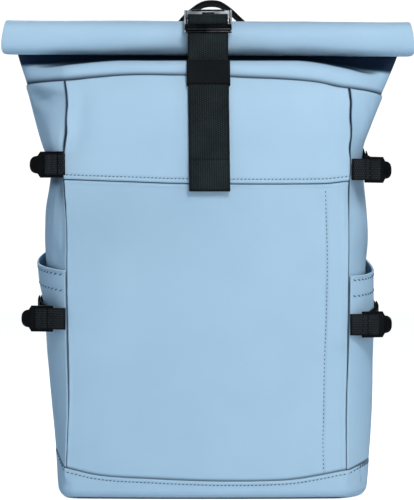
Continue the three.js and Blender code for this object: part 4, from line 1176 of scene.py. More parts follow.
def pocket_face(side, t, z, out=0.0):
    """The pocket's outer face, drawn in at its stitching."""
    at = on_side(side, t)
    low = pocket_top(side, t) - z
    lift = 0
    for place, height, wide, tall, deep in POCKET_DENTS[side]:
        lift -= deep * bell((t - place) * BAG_DEPTH, wide) * bell(z - height, tall)
    lift *= ease((low - 8) / 12)
    for line in HEM_LINES:
        lift += groove(abs(low - line), 0.22, 1.3) + 0.5 * pucker(t * BAG_DEPTH, low - line, 5, side + line)
    lift += 0.2 * (drift(t * BAG_DEPTH, z, 24, 14) - 0.6)
    lift += groove(seam_distance(at), 1.0, 0.7)
    return skin(at, z, pocket_off(side, t, z) + POCKET_WALL + lift + out)


def pocket(name, side, node):
    def place(s, t):
        along_side = short_of_seams(0, s if side > 0 else 1 - s, BAG_DEPTH)
        at = on_side(side, along_side)
        bottom = base_height(at) + SEAM_GAP - 3
        z = mix(bottom, pocket_top(side, along_side), t)
        # Painted shade: in the crevices of its seams, above the base's rim and faintly along the hem's stitching.
        shade = max(painted_shade(at, z), 0.85 * bell(max(0, z - base_height(at) - 0.3), 0.8))
        for line in HEM_LINES:
            shade = max(shade, 0.06 * bell(pocket_top(side, along_side) - z - line, 1.2))
        return pocket_face(side, along_side, z), shade
    bm = cloth_grid(SIDE_COLUMNS, 96, place)
    piece = thicken(finish_piece(bm, name, FABRIC, "shell", node), POCKET_WALL)
    rim = [pocket_face(side, t, pocket_top(side, t) - 0.2, -POCKET_WALL / 2) for t in along(40, 0.004, 0.996)]
    band(name + "_rim", rim, UPRIGHT, 2.4, 2.0, FABRIC, "shell", step=2, corner=0.95)
    spots = []
    for line in HEM_LINES:
        spots += stitch_spots(
            lambda t: pocket_face(side, t, pocket_top(side, t) - line),
            lambda t: shell_normal(on_side(side, t), pocket_top(side, t) - line),
            0.015, 0.985, HEM_STITCH_PITCH, BAG_DEPTH * 1.12,
        )
    stitches(name + "_stitches", spots, BLUE_THREAD, "shell", long=4.0, wide=1.1, slant=-25 * side)
    return piece


# Seam stitching on the shell

def shell_stitches():
    def upper_line(t):
        z = front_height(t) + SEAM_ALLOWANCE
        return skin(t, z, lap_out(t, z) + upper_relief(t, z))

    def sewn_down(t):
        z = mix(*VERTICAL_STITCH_SPAN, t)
        at = vertical_stitch_at(z)
        return skin(at, z, panel_relief(at, z) - STITCH_SINK)

    def base_line(t):
        z = base_height(t % 4) - BASE_ALLOWANCE
        return skin(t, z, LAP_GAP + WALL - STITCH_SINK)

    def out_of_upper(t):
        return flat_normal(min(max(t, 0.03), 0.97), front_height(t) + 4)

    def out_of_lower(t):
        return flat_normal(0.9, mix(*VERTICAL_STITCH_SPAN, t))

    def out_of_base(t):
        return shell_normal(t, 25).normalized()

    spots = stitch_spots(upper_line, out_of_upper, 0.008, 0.992, STITCH_PITCH, FRONT_WIDTH)
    spots = [spot for spot in spots if abs(spot[0].x) > STRAP_WIDTH / 2]
    stitches("front_seam_stitches", spots, BLUE_THREAD, "shell")
    length = VERTICAL_STITCH_SPAN[1] - VERTICAL_STITCH_SPAN[0]
    spots = stitch_spots(sewn_down, out_of_lower, 0, 1, VERTICAL_STITCH_PITCH, length)
    stitches("front_vertical_stitches", spots, BLUE_THREAD, "shell", long=1.7, slant=8)
    spots = []
    for part in (0, 2):
        spots += stitch_spots(base_line, out_of_base, part + 0.004, part + 0.996, STITCH_PITCH, GIRTH[part])
    stitches("base_stitches", spots, BLUE_THREAD, "shell")
    for part, side in ((1, "right"), (3, "left")):
        spots = stitch_spots(
            base_line, out_of_base, part + 0.01, part + 0.99, SIDE_STITCH_PITCH, 1.15 * BAG_DEPTH,
        )
        stitches("base_stitches_" + side, spots, BLUE_THREAD, "shell", long=3.6, wide=1.0)


# Webbing, ladder locks and the hook

def narrow_web(name, line, across, width, thick, *nodes, **settings):
    """A band of the narrower webbing."""
    band(name, line, across, width, thick, NARROW_WEBBING, "webbing", *nodes, **settings)


class Frame:
    """A frame of reference: x goes along `way`, z goes `out`, and y lies across."""

    def __init__(self, origin, way, out):
        self.origin, self.way, self.out = origin, way, out
        self.across = out.cross(way)
        self.matrix = Matrix.Translation(origin) @ Matrix((way, self.across, out)).transposed().to_4x4()

    def point(self, e, n):
        return self.origin + self.way * e + self.out * n


def turn(e, n, start, end, thick):
    """Webbing round the edge of a bar."""
    return arc(e, n, thick / 2 + WEB_GAP, start, end, 5)


def round_bar(lock, thick, start=170):
    spots = turn(-BUCKLE_BAR / 2, -BUCKLE_THICK / 2, start, 180, thick) if start > 180 else []
    spots += turn(-BUCKLE_BAR / 2, BUCKLE_THICK / 2, min(start, 180), 90, thick)
    spots += turn(BUCKLE_BAR / 2, BUCKLE_THICK / 2, 90, 0, thick)
    spots += turn(BUCKLE_BAR / 2, -BUCKLE_THICK / 2, 0, -90, thick)
    return [lock.point(e, n) for e, n in spots]


def through_lock(lock, thick, flat):
    bar, deep = BUCKLE_BAR / 2, BUCKLE_THICK / 2
    clear = deep + thick / 2 + WEB_GAP
    tab_bar = 3 * LOCK_PITCH + bar
    come = [(tab_bar, -clear - 2.4 * thick), (LOCK_PITCH + bar, -clear - thick)]
    edge = 2 * LOCK_PITCH + bar + thick / 2 + WEB_GAP
    go = [(edge, -deep * 0.6), (2 * LOCK_PITCH + bar + 2.6, -clear + 0.1), (tab_bar, -clear)]
    spots = (come if flat else []) + turn(LOCK_PITCH - bar, -deep, 260 if flat else 230, 180, thick)
    spots += turn(LOCK_PITCH - bar, deep, 180, 90, thick)
    spots += [(LOCK_PITCH + bar, clear), (1.5 * LOCK_PITCH, clear - 0.7), (2 * LOCK_PITCH - bar, clear)]
    spots += turn(2 * LOCK_PITCH + bar, deep, 90, 0, thick)
    spots += go if flat else [(edge, -deep), (2 * LOCK_PITCH + bar + thick + WEB_GAP, -2 * clear)]
    return [lock.point(e, n) for e, n in spots]


def rounded_edges(bm, edges, rounding, segments=3):
    return bmesh.ops.bevel(
        bm, geom=list(edges), offset=rounding, offset_type="OFFSET", segments=segments, profile=0.5,
        affect="EDGES", material=-1,
    )["faces"]


def moulded_bar(bm, size, centre, rounding, segments=3):
    """A rounded bar of moulded plastic or steel: a block with its edges bevelled."""
    block = bmesh.ops.create_cube(bm, size=1, matrix=Matrix.Translation(centre) @ Matrix.Diagonal((*size, 1)))
    rounded_edges(bm, {e for v in block["verts"] for e in v.link_edges}, rounding, segments)


def plate(bm, outline, low, high, rounding, dish):
    """A flat plate from its outline: one face, pulled up to its thickness, its rim bevelled, then dished."""
    verts = [bm.verts.new((x, y, low)) for x, y in outline]
    pulled = bmesh.ops.extrude_face_region(bm, geom=[bm.faces.new(verts)])["geom"]
    tops = [g for g in pulled if isinstance(g, bmesh.types.BMVert)]
    bmesh.ops.translate(bm, vec=(0, 0, high - low), verts=tops)
    everything = {*verts, *tops}
    rim = {e for v in everything for e in v.link_edges if abs(e.verts[0].co.z - e.verts[1].co.z) < 1e-6}
    made = rounded_edges(bm, rim, rounding)
    for v in {v for v in everything if v.is_valid} | {v for f in made for v in f.verts}:
        v.co.z += dish(v.co.x, v.co.y)


def ladder_lock(name, lock, web_width, node):
    """Two rails, three bars and a thumb tab that narrows from sloping shoulders to a round, ribbed end."""
    bm = bmesh.new()
    inside = web_width / 2 + LOCK_SIDE
    half = inside + BUCKLE_RAIL
    bar = BUCKLE_BAR / 2
    shoulder = 3 * LOCK_PITCH + bar
    for side in (-1, 1):
        size = (shoulder + bar, BUCKLE_RAIL, BUCKLE_THICK + 0.6)
        moulded_bar(bm, size, ((shoulder - bar) / 2, side * (inside + BUCKLE_RAIL / 2), 0.1), 0.8)
    for k in range(3):
        moulded_bar(bm, (BUCKLE_BAR, 2 * inside + 1, BUCKLE_THICK), (k * LOCK_PITCH, 0, 0), 0.9)
    waist = half - 4
    rim = [
        (shoulder - BUCKLE_BAR - 1.4, half - 0.3), (shoulder - 1, half - 0.3),
        (shoulder + 0.4, half - 1), (shoulder + 2.4, waist + 0.2),
    ]
    for x, y in arc(0, 0, 1, 85, 6, 8):
        rim.append((shoulder + 3.2 + (TAB_LENGTH - 3.2) * x, waist * y**0.8))
    outline = [(x, -y) for x, y in rim] + [(shoulder + TAB_LENGTH, 0)] + rim[::-1]

    def thumb(x, y):
        hollow = 0.35 * bell(x - shoulder - 4, 3) * bell(y, half * 0.6)
        return 0.9 * ease((x - shoulder) / TAB_LENGTH) - hollow

    plate(bm, outline, -BUCKLE_THICK / 2 + 0.2, BUCKLE_THICK / 2 - 0.1, 0.55, thumb)
    for k in range(4):
        size = (0.7, 2 * waist * (0.8 - 0.14 * k), 0.6)
        moulded_bar(bm, size, (shoulder + 2.2 + 1.8 * k, 0, BUCKLE_THICK / 2 + 0.2 + 0.18 * k), 0.22, 2)
    bmesh.ops.transform(bm, matrix=lock.matrix, verts=bm.verts)
    return finish_piece(bm, name, PLASTIC, "buckle", node)


def rest_on(at, z, width, over):
    """The middle of upright webbing that rests on the shell there, clear of it over its whole width."""
    here = shell_point(at, z)
    out = shell_normal(at, z)
    out.z = 0
    out.normalize()
    levels = along(6, z - width / 2, z + width / 2)
    return here + out * max((shell_point(at, level) - here).dot(out) + over(level) for level in levels)


def compression_strap(name, side, height, run, web_yaw, buckle_yaw, climb, over_pocket):
    seam = 1 if side > 0 else 4
    under = LAP_GAP + (POCKET_WALL if over_pocket else WALL) + STRAP_GAP

    def way(yaw):
        return Vector((side * math.cos(math.radians(yaw)), math.sin(math.radians(yaw)), 0))

    def out_of(yaw):
        return Vector((side * math.sin(math.radians(yaw)), -math.cos(math.radians(yaw)), 0))

    corner = skin(seam, height, 0)
    half = WEB_THICK / 2
    ring = BUCKLE_THICK / 2 + half + WEB_GAP
    stalk = 0 if run > BUCKLE_BAR else 2
    bar = corner + way(web_yaw) * run + out_of(web_yaw) * (under + half + ring + stalk)
    lock = Frame(bar, way(buckle_yaw), out_of(buckle_yaw))
    apart = WEB_THICK + WEB_GAP

    def start(layer):
        if stalk:
            return lock.point(BUCKLE_BAR / 4 - layer * apart, -ring - stalk)
        return corner + out_of(web_yaw) * (under + half + layer * apart)

    anchor = [start(1), *round_bar(lock, WEB_THICK, 260 if stalk else 170), start(0)]

    def along_side(t, layer):
        def over(level):
            pocket_there = pocket_off(side, t, level) + POCKET_WALL if over_pocket else 0
            return pocket_there + 2 * STRAP_GAP + half + layer * (WEB_THICK + STRAP_GAP)
        return rest_on(on_side(side, t), height + climb * t**1.3, WEB_WIDTH + 6, over)

    load = [along_side(t, 0) for t in (0.985, 0.93, 0.875, 0.81, 0.75, 0.69, 0.625, 0.56, 0.5, 0.44, 0.375)]
    tail = [along_side(t, 1.3) for t in along(4, 0.375, 0.375 + WEB_TAIL / BAG_DEPTH)]
    web = [*load, *through_lock(lock, WEB_THICK, False), *tail]
    ladder_lock("ladder_lock_" + name, lock, WEB_WIDTH, "buckle_" + name)
    for piece, line, node, step in (
        ("sewn_loop_", anchor, "anchor_web_", 1.0), ("side_strap_", web, "compression_web_", 1.2),
    ):
        narrow_web(piece + name, line, UPRIGHT, WEB_WIDTH, WEB_THICK, node + name, step=step)


def hook_frame():
    lean = math.radians(HOOK_LEAN)
    way, out = Vector((0, math.cos(lean), math.sin(lean))), Vector((0, -math.sin(lean), math.cos(lean)))
    return Frame(roll_point(HOOK_SEAT, ROLL_SHEET / 2) + out * HOOK_OUT - way * HOOK_MIDDLE, way, out)


def closure_hook(hook):
    """A steel frame with two bars for the strap, a slotted top plate and a lip curled under it."""
    bright, dark = bmesh.new(), bmesh.new()
    hole = STRAP_WIDTH / 2 + 0.8
    rail = HOOK_WIDTH / 2 - hole
    across = 2 * hole + 1
    middle = UPPER_EDGE - HOOK_LENGTH / 2
    low = HOOK_MID_BAR + HOOK_BAR / 2 + HOOK_TOP_SLOT
    beside = hole + 0.5 - SLOT_HALF
    # The pieces in `bright` are painted highlight, lighter steel where the blackened steel shines; those in `dark`
    # are its own black.
    bars = [  # which mesh, size, centre, rounding and its segments
        (bright, (HOOK_BAR, across, HOOK_THICK), (HOOK_MID_BAR, 0, 0), 0.8, 4),
        (bright, (SLOT_LOW - low, across, HOOK_THICK), ((SLOT_LOW + low) / 2, 0, 0), 0.5, 3),
        (bright, (UPPER_EDGE - SLOT_HIGH, across, HOOK_THICK), ((SLOT_HIGH + UPPER_EDGE) / 2, 0, 0), 0.6, 3),
        (dark, (HOOK_BAR, HOOK_WIDTH - 2, HOOK_THICK), (0, 0, 0), 1.0, 4),
        (dark, (8.6, HOOK_WIDTH - 1, 2.4), (3.6, 0, 2.1), 1.15, 5),
        (dark, (2.8, 2 * SLOT_HALF + 0.4, HOOK_THICK), (UPPER_EDGE - 4.4, 0, 0.1), 0.3, 2),
        (dark, (1.3, 2 * hole - 8, HOOK_THICK + 0.2), (UPPER_EDGE - 0.4, 0, 0), 0.5, 3),
    ]
    for side in (-1, 1):
        bars += [
            (
                bright, (HOOK_LENGTH, 0.62 * rail, HOOK_THICK + 0.6),
                (middle, side * (HOOK_WIDTH / 2 - 0.31 * rail), 0.2), 0.7, 4,
            ),
            (
                bright, (SLOT_HIGH - SLOT_LOW + 1, beside, HOOK_THICK - 0.1),
                ((SLOT_LOW + SLOT_HIGH) / 2, side * (SLOT_HALF + beside / 2), 0), 0.3, 2,
            ),
            (
                dark, (HOOK_LENGTH - 1, rail, HOOK_THICK - 0.4),
                (middle, side * (hole + 0.42 * rail), -0.2), 0.5, 2,
            ),
            (
                dark, (3.6, rail + 0.3, HOOK_THICK + 0.3),
                (UPPER_EDGE - 1.6, side * (hole + rail / 2), 0), 1.1, 4,
            ),
        ]
    for bm, size, centre, rounding, segments in bars:
        moulded_bar(bm, size, centre, rounding, segments)
    top, lip_low = HOOK_THICK / 2, -HOOK_THICK / 2 - LIP_GAP - LIP_THICK
    radius = (top - lip_low) / 2
    curl = [
        (UPPER_EDGE - 2, top - LIP_THICK / 2),
        *arc(UPPER_EDGE, (top + lip_low) / 2, radius - LIP_THICK / 2, 90, -90, 8),
        (UPPER_EDGE - LIP_LENGTH, lip_low + LIP_THICK / 2),
    ]
    line = [Vector((e, 0, n)) for e, n in curl]
    band_mesh(line, Vector((0, 1, 0)), LOOP_WIDTH + 12, LIP_THICK, step=1, corner=0.3, bm=dark)
    for bm in (bright, dark):
        bmesh.ops.transform(bm, matrix=hook.matrix, verts=bm.verts)
    finish_piece(dark, "closure_hook_bar", METAL, "hook")
    return finish_piece(bright, "closure_hook", BRIGHT_METAL, "hook", "metal_hook")


def on_front(z, layers):
    proud = lap_out(0.5, z)
    spot = skin(0.5, z, proud + STRAP_GAP + STRAP_THICK / 2 + layers * STRAP_LAYER)
    spot.x = strap_aside(z)
    return spot


def strap_aside(z):
    """The closure strap leans: it lies in the middle at its top and a little right of it at its end."""
    return mix(1.6, -0.2, (z - 286) / 154)


def strap_leaves():
    crest = on_front(arch_height(0.5) - 4, 1.1)
    way = hook_frame().point(1, -5) - crest
    way.x = 0
    way.normalize()
    return crest, way, Vector((0, -way.z, way.y))


def closure_strap(hook):
    low = front_height(0.5)
    rises = [mix(low, arch_height(0.5), share) for share in (0.025, 0.2, 0.38, 0.55, 0.7, 0.84)]
    crest, way, out = strap_leaves()
    top = crest + way * 22
    below = -(HOOK_THICK / 2 + STRAP_GAP + STRAP_THICK / 2)
    under = below - STRAP_LAYER
    edge = HOOK_BAR / 2

    def aside(point):
        point.x = strap_aside(point.z)
        return point

    up = [on_front(z, 0.05 * i) for i, z in enumerate(rises)]
    up += [crest, top, hook.point(1, under - 0.2), hook.point(8, under)]
    middle = HOOK_MID_BAR + edge
    spots = [
        (middle - 0.4, under + 0.6), (middle + 3.4, -2.2), (middle + 5.4, 0.2), (middle + 7.4, 2.5),
        (middle + 6.9, 4.2), (middle + 3.6, 5.3), (middle - 0.6, 5.2), (middle - 3.2, 3.8),
        (middle - 4.2, 1.2), (6.2, -1.2), (1.8, below), (-2.4, below),
    ]
    around = [hook.point(e, n) for e, n in spots]
    down = [point + out * STRAP_LAYER for point in (top, crest)]
    end = on_front(low + 1, 1)
    end.z = low - STRAP_DROP + STRAP_LAYER / 2
    tail = [on_front(z, 1.25 - 0.05 * i) for i, z in enumerate(reversed(rises[1:]))]
    tail += [
        on_front(low + 1, 1), end, end + Vector((0, -STRAP_LAYER / 2, -STRAP_LAYER / 2)),
        end + Vector((0, -STRAP_LAYER, 0)), on_front(low + 3, 2), on_front(low - STRAP_DROP + STRAP_HEM, 2),
    ]
    line = [aside(p.copy()) for p in (*up, *around, *down, *tail)]
    # Painted shade on the underside of the strap's folded end.
    band(
        "closure_strap", line, LEVEL, STRAP_WIDTH, STRAP_THICK, WEBBING, "webbing", "centre_strap", step=1.5,
        dark=lambda spot: ease((low - STRAP_DROP + 2 - spot.z) / 2),
    )


def strap_keeper():
    """The elastic loop round both layers of the closure strap."""
    crest, way, out = strap_leaves()
    middle = crest + way * KEEPER_UP + out * STRAP_LAYER / 2
    in_x = STRAP_WIDTH / 2 + 0.4 + KEEPER_THICK / 2
    in_y = STRAP_LAYER / 2 + STRAP_THICK / 2 + 0.35 + KEEPER_THICK / 2
    spots = []
    for x, y, start in ((in_x, in_y, 0), (-in_x, in_y, 90), (-in_x, -in_y, 180), (in_x, -in_y, 270)):
        centre = x - math.copysign(KEEPER_CORNER, x), y - math.copysign(KEEPER_CORNER, y)
        spots += arc(*centre, KEEPER_CORNER, start, start + 90, 4)
    spots.append(spots[0])
    line = [middle + LEVEL * x + out * y for x, y in spots]
    bm = band_mesh(line, way, KEEPER_WIDTH, KEEPER_THICK, step=1.2, closed=True)
    below = (crest - on_front(crest.z - 12, 1.1)).normalized()
    for vert in bm.verts:
        up = (vert.co - crest).dot(way)
        if up < 4:
            vert.co += (below - way) * (up - 4) * ease((4 - up) / 8)
    finish_piece(bm, "keeper_loop", ELASTIC, "elastic", "strap_keeper")


def hook_web(hook):
    half = HOOK_WEB / 2

    def back(z):
        spot = skin(2.5, z, STRAP_GAP + half + 0.2)
        spot.x = 0
        return spot

    in_lip = -HOOK_THICK / 2 - LIP_GAP / 2
    lip_low = -HOOK_THICK / 2 - LIP_GAP - LIP_THICK
    line = [back(arch_height(2.5) - 14), back(arch_height(2.5) + 1)]
    line += [roll_point(angle, ROLL_SHEET / 2 + half + 1.2) for angle in along(6, 40, 96)]
    line.append(hook.point(UPPER_EDGE - 1, lip_low - WEB_GAP - half))
    lip_end = UPPER_EDGE - LIP_LENGTH
    line += [hook.point(e, n) for e, n in turn(lip_end, lip_low, 270, 180, HOOK_WEB)]
    line += [hook.point(e, n) for e, n in turn(lip_end, lip_low + LIP_THICK, 180, 110, HOOK_WEB)]
    line += [hook.point(lip_end + 1, in_lip), hook.point(UPPER_EDGE - 0.4, in_lip)]
    narrow_web("hook_web", line, LEVEL, LOOP_WIDTH, HOOK_WEB, "hook_strap", step=1.5)


# The carry loop's middle line, across and up.
LOOP_ARCH = [
    (-50, 405), (-43.5, 424), (-35, 440.5), (-26.1, 451.7), (-20.3, 458), (-15, 462.3), (-9.7, 466.1),
    (-3.9, 468.8), (3.4, 469.7), (10.6, 468.8), (16.4, 465.7), (22.2, 461.4), (29, 455.1), (36, 448),
    (45, 432), (51, 412),
]


def carry_loop():
    lean = Vector((0, math.cos(math.radians(LOOP_LEAN)), -math.sin(math.radians(LOOP_LEAN))))
    foot = arch_height(2.5) - 12
    feet = (2.5 + LOOP_SPAN / 2 / BACK_WIDTH, 2.5 - LOOP_SPAN / 2 / BACK_WIDTH)
    left, right = (skin(at, foot, STRAP_GAP + LOOP_THICK / 2) for at in feet)
    left_seam, right_seam = (skin(at, arch_height(2.5) + 1, STRAP_GAP + LOOP_THICK / 2 + 1.5) for at in feet)
    arch = [Vector((x, mix(left_seam.y, left_seam.y - 9, ease((z - 400) / 65)), z)) for x, z in LOOP_ARCH]
    line = [left, left_seam, *arch, right_seam, right]
    flat = Vector((-1, 0, 0))
    across = [flat, flat] + [lean] * (len(line) - 4) + [-flat, -flat]
    narrow_web("carry_loop", line, across, LOOP_WIDTH, LOOP_THICK, "haul_loop", step=2, corner=1.1)


# The padded back

def pad_edge(t):
    return min(1, math.sin(math.pi * mix(0.04, 0.96, t)) * 2.2)


def swell_pad(piece, cap, voxel):
    """The pad filled by simulation: remeshed, blown up a little, and held back where it would go too far."""
    remesh = piece.modifiers.new("remesh", "REMESH")
    remesh.mode = "VOXEL"
    remesh.voxel_size = voxel
    bpy.context.view_layer.objects.active = piece
    bpy.ops.object.modifier_apply(modifier=remesh.name)
    bm = bmesh.new()
    bm.from_mesh(piece.data)
    axes = {"use_axis_" + axis: True for axis in "xyz"}
    for _ in range(PAD_SMOOTHINGS):
        bmesh.ops.smooth_vert(bm, verts=bm.verts, factor=0.5, **axes)
    bm.to_mesh(piece.data)
    bm.free()
    before = [v.co.copy() for v in piece.data.vertices]
    blow = piece.modifiers.new("blow", "CLOTH")
    blow.settings.use_pressure = True
    blow.settings.uniform_pressure_force = SWELL_PRESSURE
    blow.settings.effector_weights.gravity = 0
    blow.settings.quality = 5
    blow.point_cache.frame_start, blow.point_cache.frame_end = 1, SWELL_FRAMES
    for step in range(1, SWELL_FRAMES + 1):
        SCENE.frame_set(step)
    bpy.ops.object.modifier_apply(modifier=blow.name)
    SCENE.frame_set(1)
    for vert, start in zip(piece.data.vertices, before):
        moved = vert.co - start
        if moved.length > cap:
            vert.co = start + moved * (cap / moved.length)


def finish_pad(piece):
    smooth = piece.modifiers.new("smooth", "SUBSURF")
    smooth.levels = smooth.render_levels = 1
    piece.data.polygons.foreach_set("use_smooth", [True] * len(piece.data.polygons))


def back_cushion():
    """The padded back: two mats of foam under mesh, with a channel between them."""
    half = BACK_PAD_WIDTH / BACK_WIDTH / 2

    def face(s, t, out):
        x, up = 2 * s - 1, 2 * t - 1
        x, up = x * (1 - 0.11 * up ** 10), up * (1 - 0.085 * x ** 10)  # rounds the corners
        at = 2.5 + half * x
        z = mix(BACK_PAD_LOW + 6, BACK_PAD_HIGH - 3, (up + 1) / 2)
        return skin(at, z, STRAP_GAP + out)

    def outer(s, t):
        full = math.sqrt(max(0, pad_edge(s) * pad_edge(t)))
        return face(s, t, mix(5.5, BACK_PAD_THICK - 2.5, full)), 0

    bm = cloth_grid(46, 60, outer, gathered=(0.3, 0.3))
    under = bmesh.ops.duplicate(bm, geom=bm.verts[:] + bm.edges[:] + bm.faces[:])["geom"]
    lower = [g for g in under if isinstance(g, bmesh.types.BMVert)]
    bmesh.ops.reverse_faces(bm, faces=[g for g in under if isinstance(g, bmesh.types.BMFace)])
    for vert in lower:
        at_y = vert.co.y
        panel = skin(2.5, vert.co.z, STRAP_GAP).y
        vert.co.y = panel + min(0.6, at_y - panel) * 0.2
    rims = [e for e in bm.edges if e.is_boundary]
    bmesh.ops.bridge_loops(bm, edges=rims)
    bmesh.ops.recalc_face_normals(bm, faces=bm.faces)
    piece = finish_piece(bm, "back_cushion", SPACER, "mesh", "back_pad")
    swell_pad(piece, 0.003, BACK_VOXEL)
    return piece


def settle_cushion(piece):
    """Sewn channels, and the flat side that lies on the panel, go in after the swelling."""
    for vert in piece.data.vertices:
        x, y, z = (c / MM for c in vert.co)
        panel = skin(2.5, z, 0).y + STRAP_GAP - BACK_CROWN * BAG_DEPTH / 2 * (2 * x / BACK_WIDTH) ** 2
        depth = max(0.0, y - panel)
        draw = 0.75 * bell(x, 6)
        for line in (-62, 62):
            draw = max(draw, 0.45 * bell(x - line, 2.6) * ease((z - 80) / 12) * ease((342 - z) / 12))
        for level in (130, 200, 270):
            draw = max(draw, 0.55 * bell(z - level - 0.12 * abs(x), 3.2))
        vert.co.y = (panel + min(depth * (1 - draw), BACK_PAD_THICK)) * MM
    finish_pad(piece)


def shoulder_line(side):
    points = []
    for row in SHOULDER_LINE:
        level = row["up"] * BAG_HEIGHT
        points.append(Vector((
            side * row["across"] * BACK_WIDTH / 2, shell_point(2.5, level).y + row["out"] * BAG_DEPTH, level,
        )))
    line, _ = smooth_line(points, [LEVEL] * len(points), 4)
    return line


def shoulder_strap(side):
    name = "right" if side > 0 else "left"
    line = shoulder_line(side)
    last = len(line) - 1

    def section(i):
        way = (line[min(i + 1, last)] - line[max(i - 1, 0)]).normalized()
        wide = (LEVEL - way * way.x).normalized()
        deep = way.cross(wide)
        share = i / last
        half = PAD_WIDTH / 2 * mix(1, 0.66, ease((share - 0.45) / 0.55))
        thick = PAD_THICK / 2 * mix(0.72, 1, ease(min(share, 1 - share) / 0.15))
        return way, wide, deep, half, thick

    bm = bmesh.new()
    around = 20
    ring = None
    for i, spot in enumerate(line):
        way, wide, deep, half, thick = section(i)
        shrink = 0.92 * (1 - 0.12 * bell(i, 1.2) - 0.12 * bell(last - i, 1.2))
        places = []
        for k in range(around):
            a = 2 * math.pi * k / around
            w = math.copysign(abs(math.cos(a)) ** 0.55, math.cos(a))
            d = math.copysign(abs(math.sin(a)) ** 0.8, math.sin(a))
            places.append(spot + wide * (w * half * shrink) + deep * (d * thick * shrink * 0.9))
        first = ring is None
        ring, _ = pull_ring(bm, ring, places)
        if first:
            bm.faces.new(ring)
    bm.faces.new(ring)
    bmesh.ops.recalc_face_normals(bm, faces=bm.faces)
    pad = finish_piece(bm, "shoulder_pad_" + name + "_cover", SPACER, "mesh", "shoulder_pad_" + name)
    swell_pad(pad, 0.002, PAD_VOXEL)
    finish_pad(pad)

    # A web sewn down the outer face of the pad
    face = []
    for i in range(2, last - 1, 2):
        _, _, deep, _, thick = section(i)
        out = -deep if deep.y < 0 else deep
        face.append(line[i] + out * (thick * 0.95 + 0.5))
    narrow_web("shoulder_face_web_" + name, face, LEVEL, WEB_WIDTH, WEB_THICK, step=3)

    end = line[last]
    down = (line[last] - line[last - 1]).normalized()
    out = (LEVEL - down * down.x).normalized().cross(down)
    if out.y < 0:
        out = -out
    lock = Frame(end + down * 9 + out, down, out)

    def in_pad(layer):
        return end + down * 0.6 + out * (1 + layer * 2)

    anchor = [in_pad(1), *round_bar(lock, WEB_THICK), in_pad(-1)]
    foot = skin(2.06 if side > 0 else 2.94, base_height(2.5) + 12, STRAP_GAP + 2 * WEB_THICK)
    locked = through_lock(lock, WEB_THICK, True)
    lift = foot.lerp(locked[0], 0.15) + Vector((0, 6, 0))
    tail = [locked[-1] + down * run + out * (0.2 + 1.2 * i) for i, run in enumerate((15, 40, 70))]
    ladder_lock("shoulder_lock_" + name, lock, SHOULDER_WEB, "shoulder_buckle_" + name)
    for piece, line, node, step in (
        ("shoulder_loop_", anchor, "shoulder_anchor_", 1.2),
        ("shoulder_strap_web_", [foot, lift, *locked, *tail], "shoulder_web_", 2),
    ):
        narrow_web(piece + name, line, lock.across, SHOULDER_WEB, WEB_THICK, node + name, step=step)


# Camera, floor and light

LIGHTS = table("name place target size power colour", [
    ("key", (0.7, -2.3, 2.35), (0, 0, 0.25), (0.9, 0.8), 60, (1, 1, 1)),
    ("front_fill", (0.5, -3.4, 0.25), (0, 0, 0.2), (1.6, 1.2), 27, (1, 1, 1)),
    ("back_fill", (-0.9, 2.6, 1.9), (0, 0, 0.25), (1.6, 1.2), 26, (0.78, 0.91, 1)),
    ("left_fill", (-2.6, -1.5, 0.5), (0, 0, 0.2), (1.2, 1.2), 7.5, (0.7, 0.88, 1)),
    ("right_fill", (2.6, -1.5, 0.7), (0, 0, 0.2), (1.2, 1.2), 12.5, (0.8, 0.92, 1)),
])
STUDIO_RADIUS = 9.0
CAMERA_PLACE = (-0.00095, -3.0, 0.232)
VIEW_WIDTH = 0.475  # of the long side of the picture, at the bag's middle


def make_camera():
    data = bpy.data.cameras.new("camera")
    camera = bpy.data.objects.new("camera", data)
    camera.location = CAMERA_PLACE
    camera.rotation_euler = (math.pi / 2, 0, 0)
    data.sensor_width = 36
    data.lens = data.sensor_width * -CAMERA_PLACE[1] / VIEW_WIDTH
    data.clip_end = 60
    SCENE.collection.objects.link(camera)
    SCENE.camera = camera


def area_light(name, place, target, size, power, colour):
    data = bpy.data.lights.new(name, "AREA")
    data.shape = "RECTANGLE"
    data.size, data.size_y = size
    data.energy = power
    data.color = colour
    light = bpy.data.objects.new(name, data)
    light.location = place
    light.rotation_euler = (Vector(target) - Vector(place)).to_track_quat("-Z", "Y").to_euler()
    SCENE.collection.objects.link(light)


def pale(name, colour, glow):
    material, _, shader = blank(name)
    shader.inputs["Base Color"].default_value = (*colour, 1)
    shader.inputs["Roughness"].default_value = 0.9
    shader.inputs["Emission Color"].default_value = (1, 1, 1, 1)
    shader.inputs["Emission Strength"].default_value = glow
    return material


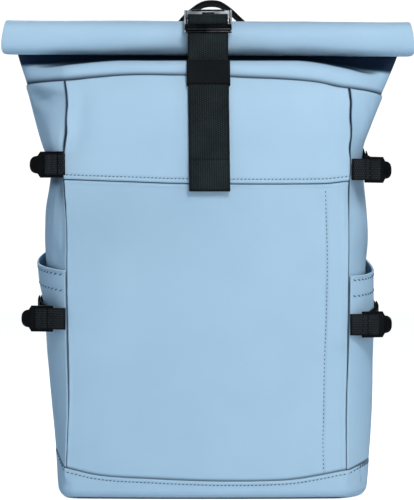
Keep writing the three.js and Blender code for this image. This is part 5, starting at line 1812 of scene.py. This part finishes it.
def stage_piece(bm, name, material, seen):
    """A piece of the studio. What the camera sees glows white, and what lights the bag is plain and pale."""
    mesh = bpy.data.meshes.new(name)
    bm.to_mesh(mesh)
    bm.free()
    mesh.materials.append(material)
    piece = bpy.data.objects.new(name, mesh)
    SCENE.collection.objects.link(piece)
    piece.visible_camera = seen
    for ray in ("diffuse", "glossy", "transmission", "shadow"):
        setattr(piece, "visible_" + ray, not seen)


def studio():
    for name, material, seen, height in (
        ("floor", pale("pale_floor", (0.8, 0.8, 0.8), 0.86), True, -0.0002),
        ("floor_bounce", pale("floor_bounce", (0.78, 0.82, 0.86), 0), False, -0.0004),
    ):
        bm = bmesh.new()
        bmesh.ops.create_circle(bm, cap_ends=True, segments=64, radius=STUDIO_RADIUS)
        bmesh.ops.translate(bm, vec=(0, 0, height), verts=bm.verts)
        stage_piece(bm, name, material, seen)
    bm = bmesh.new()
    bmesh.ops.create_uvsphere(bm, u_segments=48, v_segments=24, radius=STUDIO_RADIUS)
    bmesh.ops.reverse_faces(bm, faces=bm.faces)
    stage_piece(bm, "backdrop", pale("white_backdrop", (0, 0, 0), 1.05), True)
    world = bpy.data.worlds.new("studio")
    world.use_nodes = True
    world.node_tree.nodes["Background"].inputs["Color"].default_value = (0.7, 0.9, 1.15, 1)
    world.node_tree.nodes["Background"].inputs["Strength"].default_value = 0.2
    SCENE.world = world
    SCENE.view_settings.view_transform = "Standard"
    for light in LIGHTS:
        area_light(**light)


# Everything is made here

make_camera()
studio()
front_upper()
front_lower()
side_or_back("right_side", 1, BAG_DEPTH, SIDE_COLUMNS, "side_panel_right")
side_or_back("back", 2, BACK_WIDTH, 70, "back_panel")
side_or_back("left_side", 3, BAG_DEPTH, SIDE_COLUMNS, "side_panel_left")
base()
collar()
rolled_top()
pocket("right_pocket", 1, "side_pocket_right")
pocket("left_pocket", -1, "side_pocket_left")
shell_stitches()
for row in COMPRESSION:
    compression_strap(**row)
the_hook = hook_frame()
closure_hook(the_hook)
closure_strap(the_hook)
strap_keeper()
hook_web(the_hook)
carry_loop()
settle_cushion(back_cushion())
shoulder_strap(-1)
shoulder_strap(1)
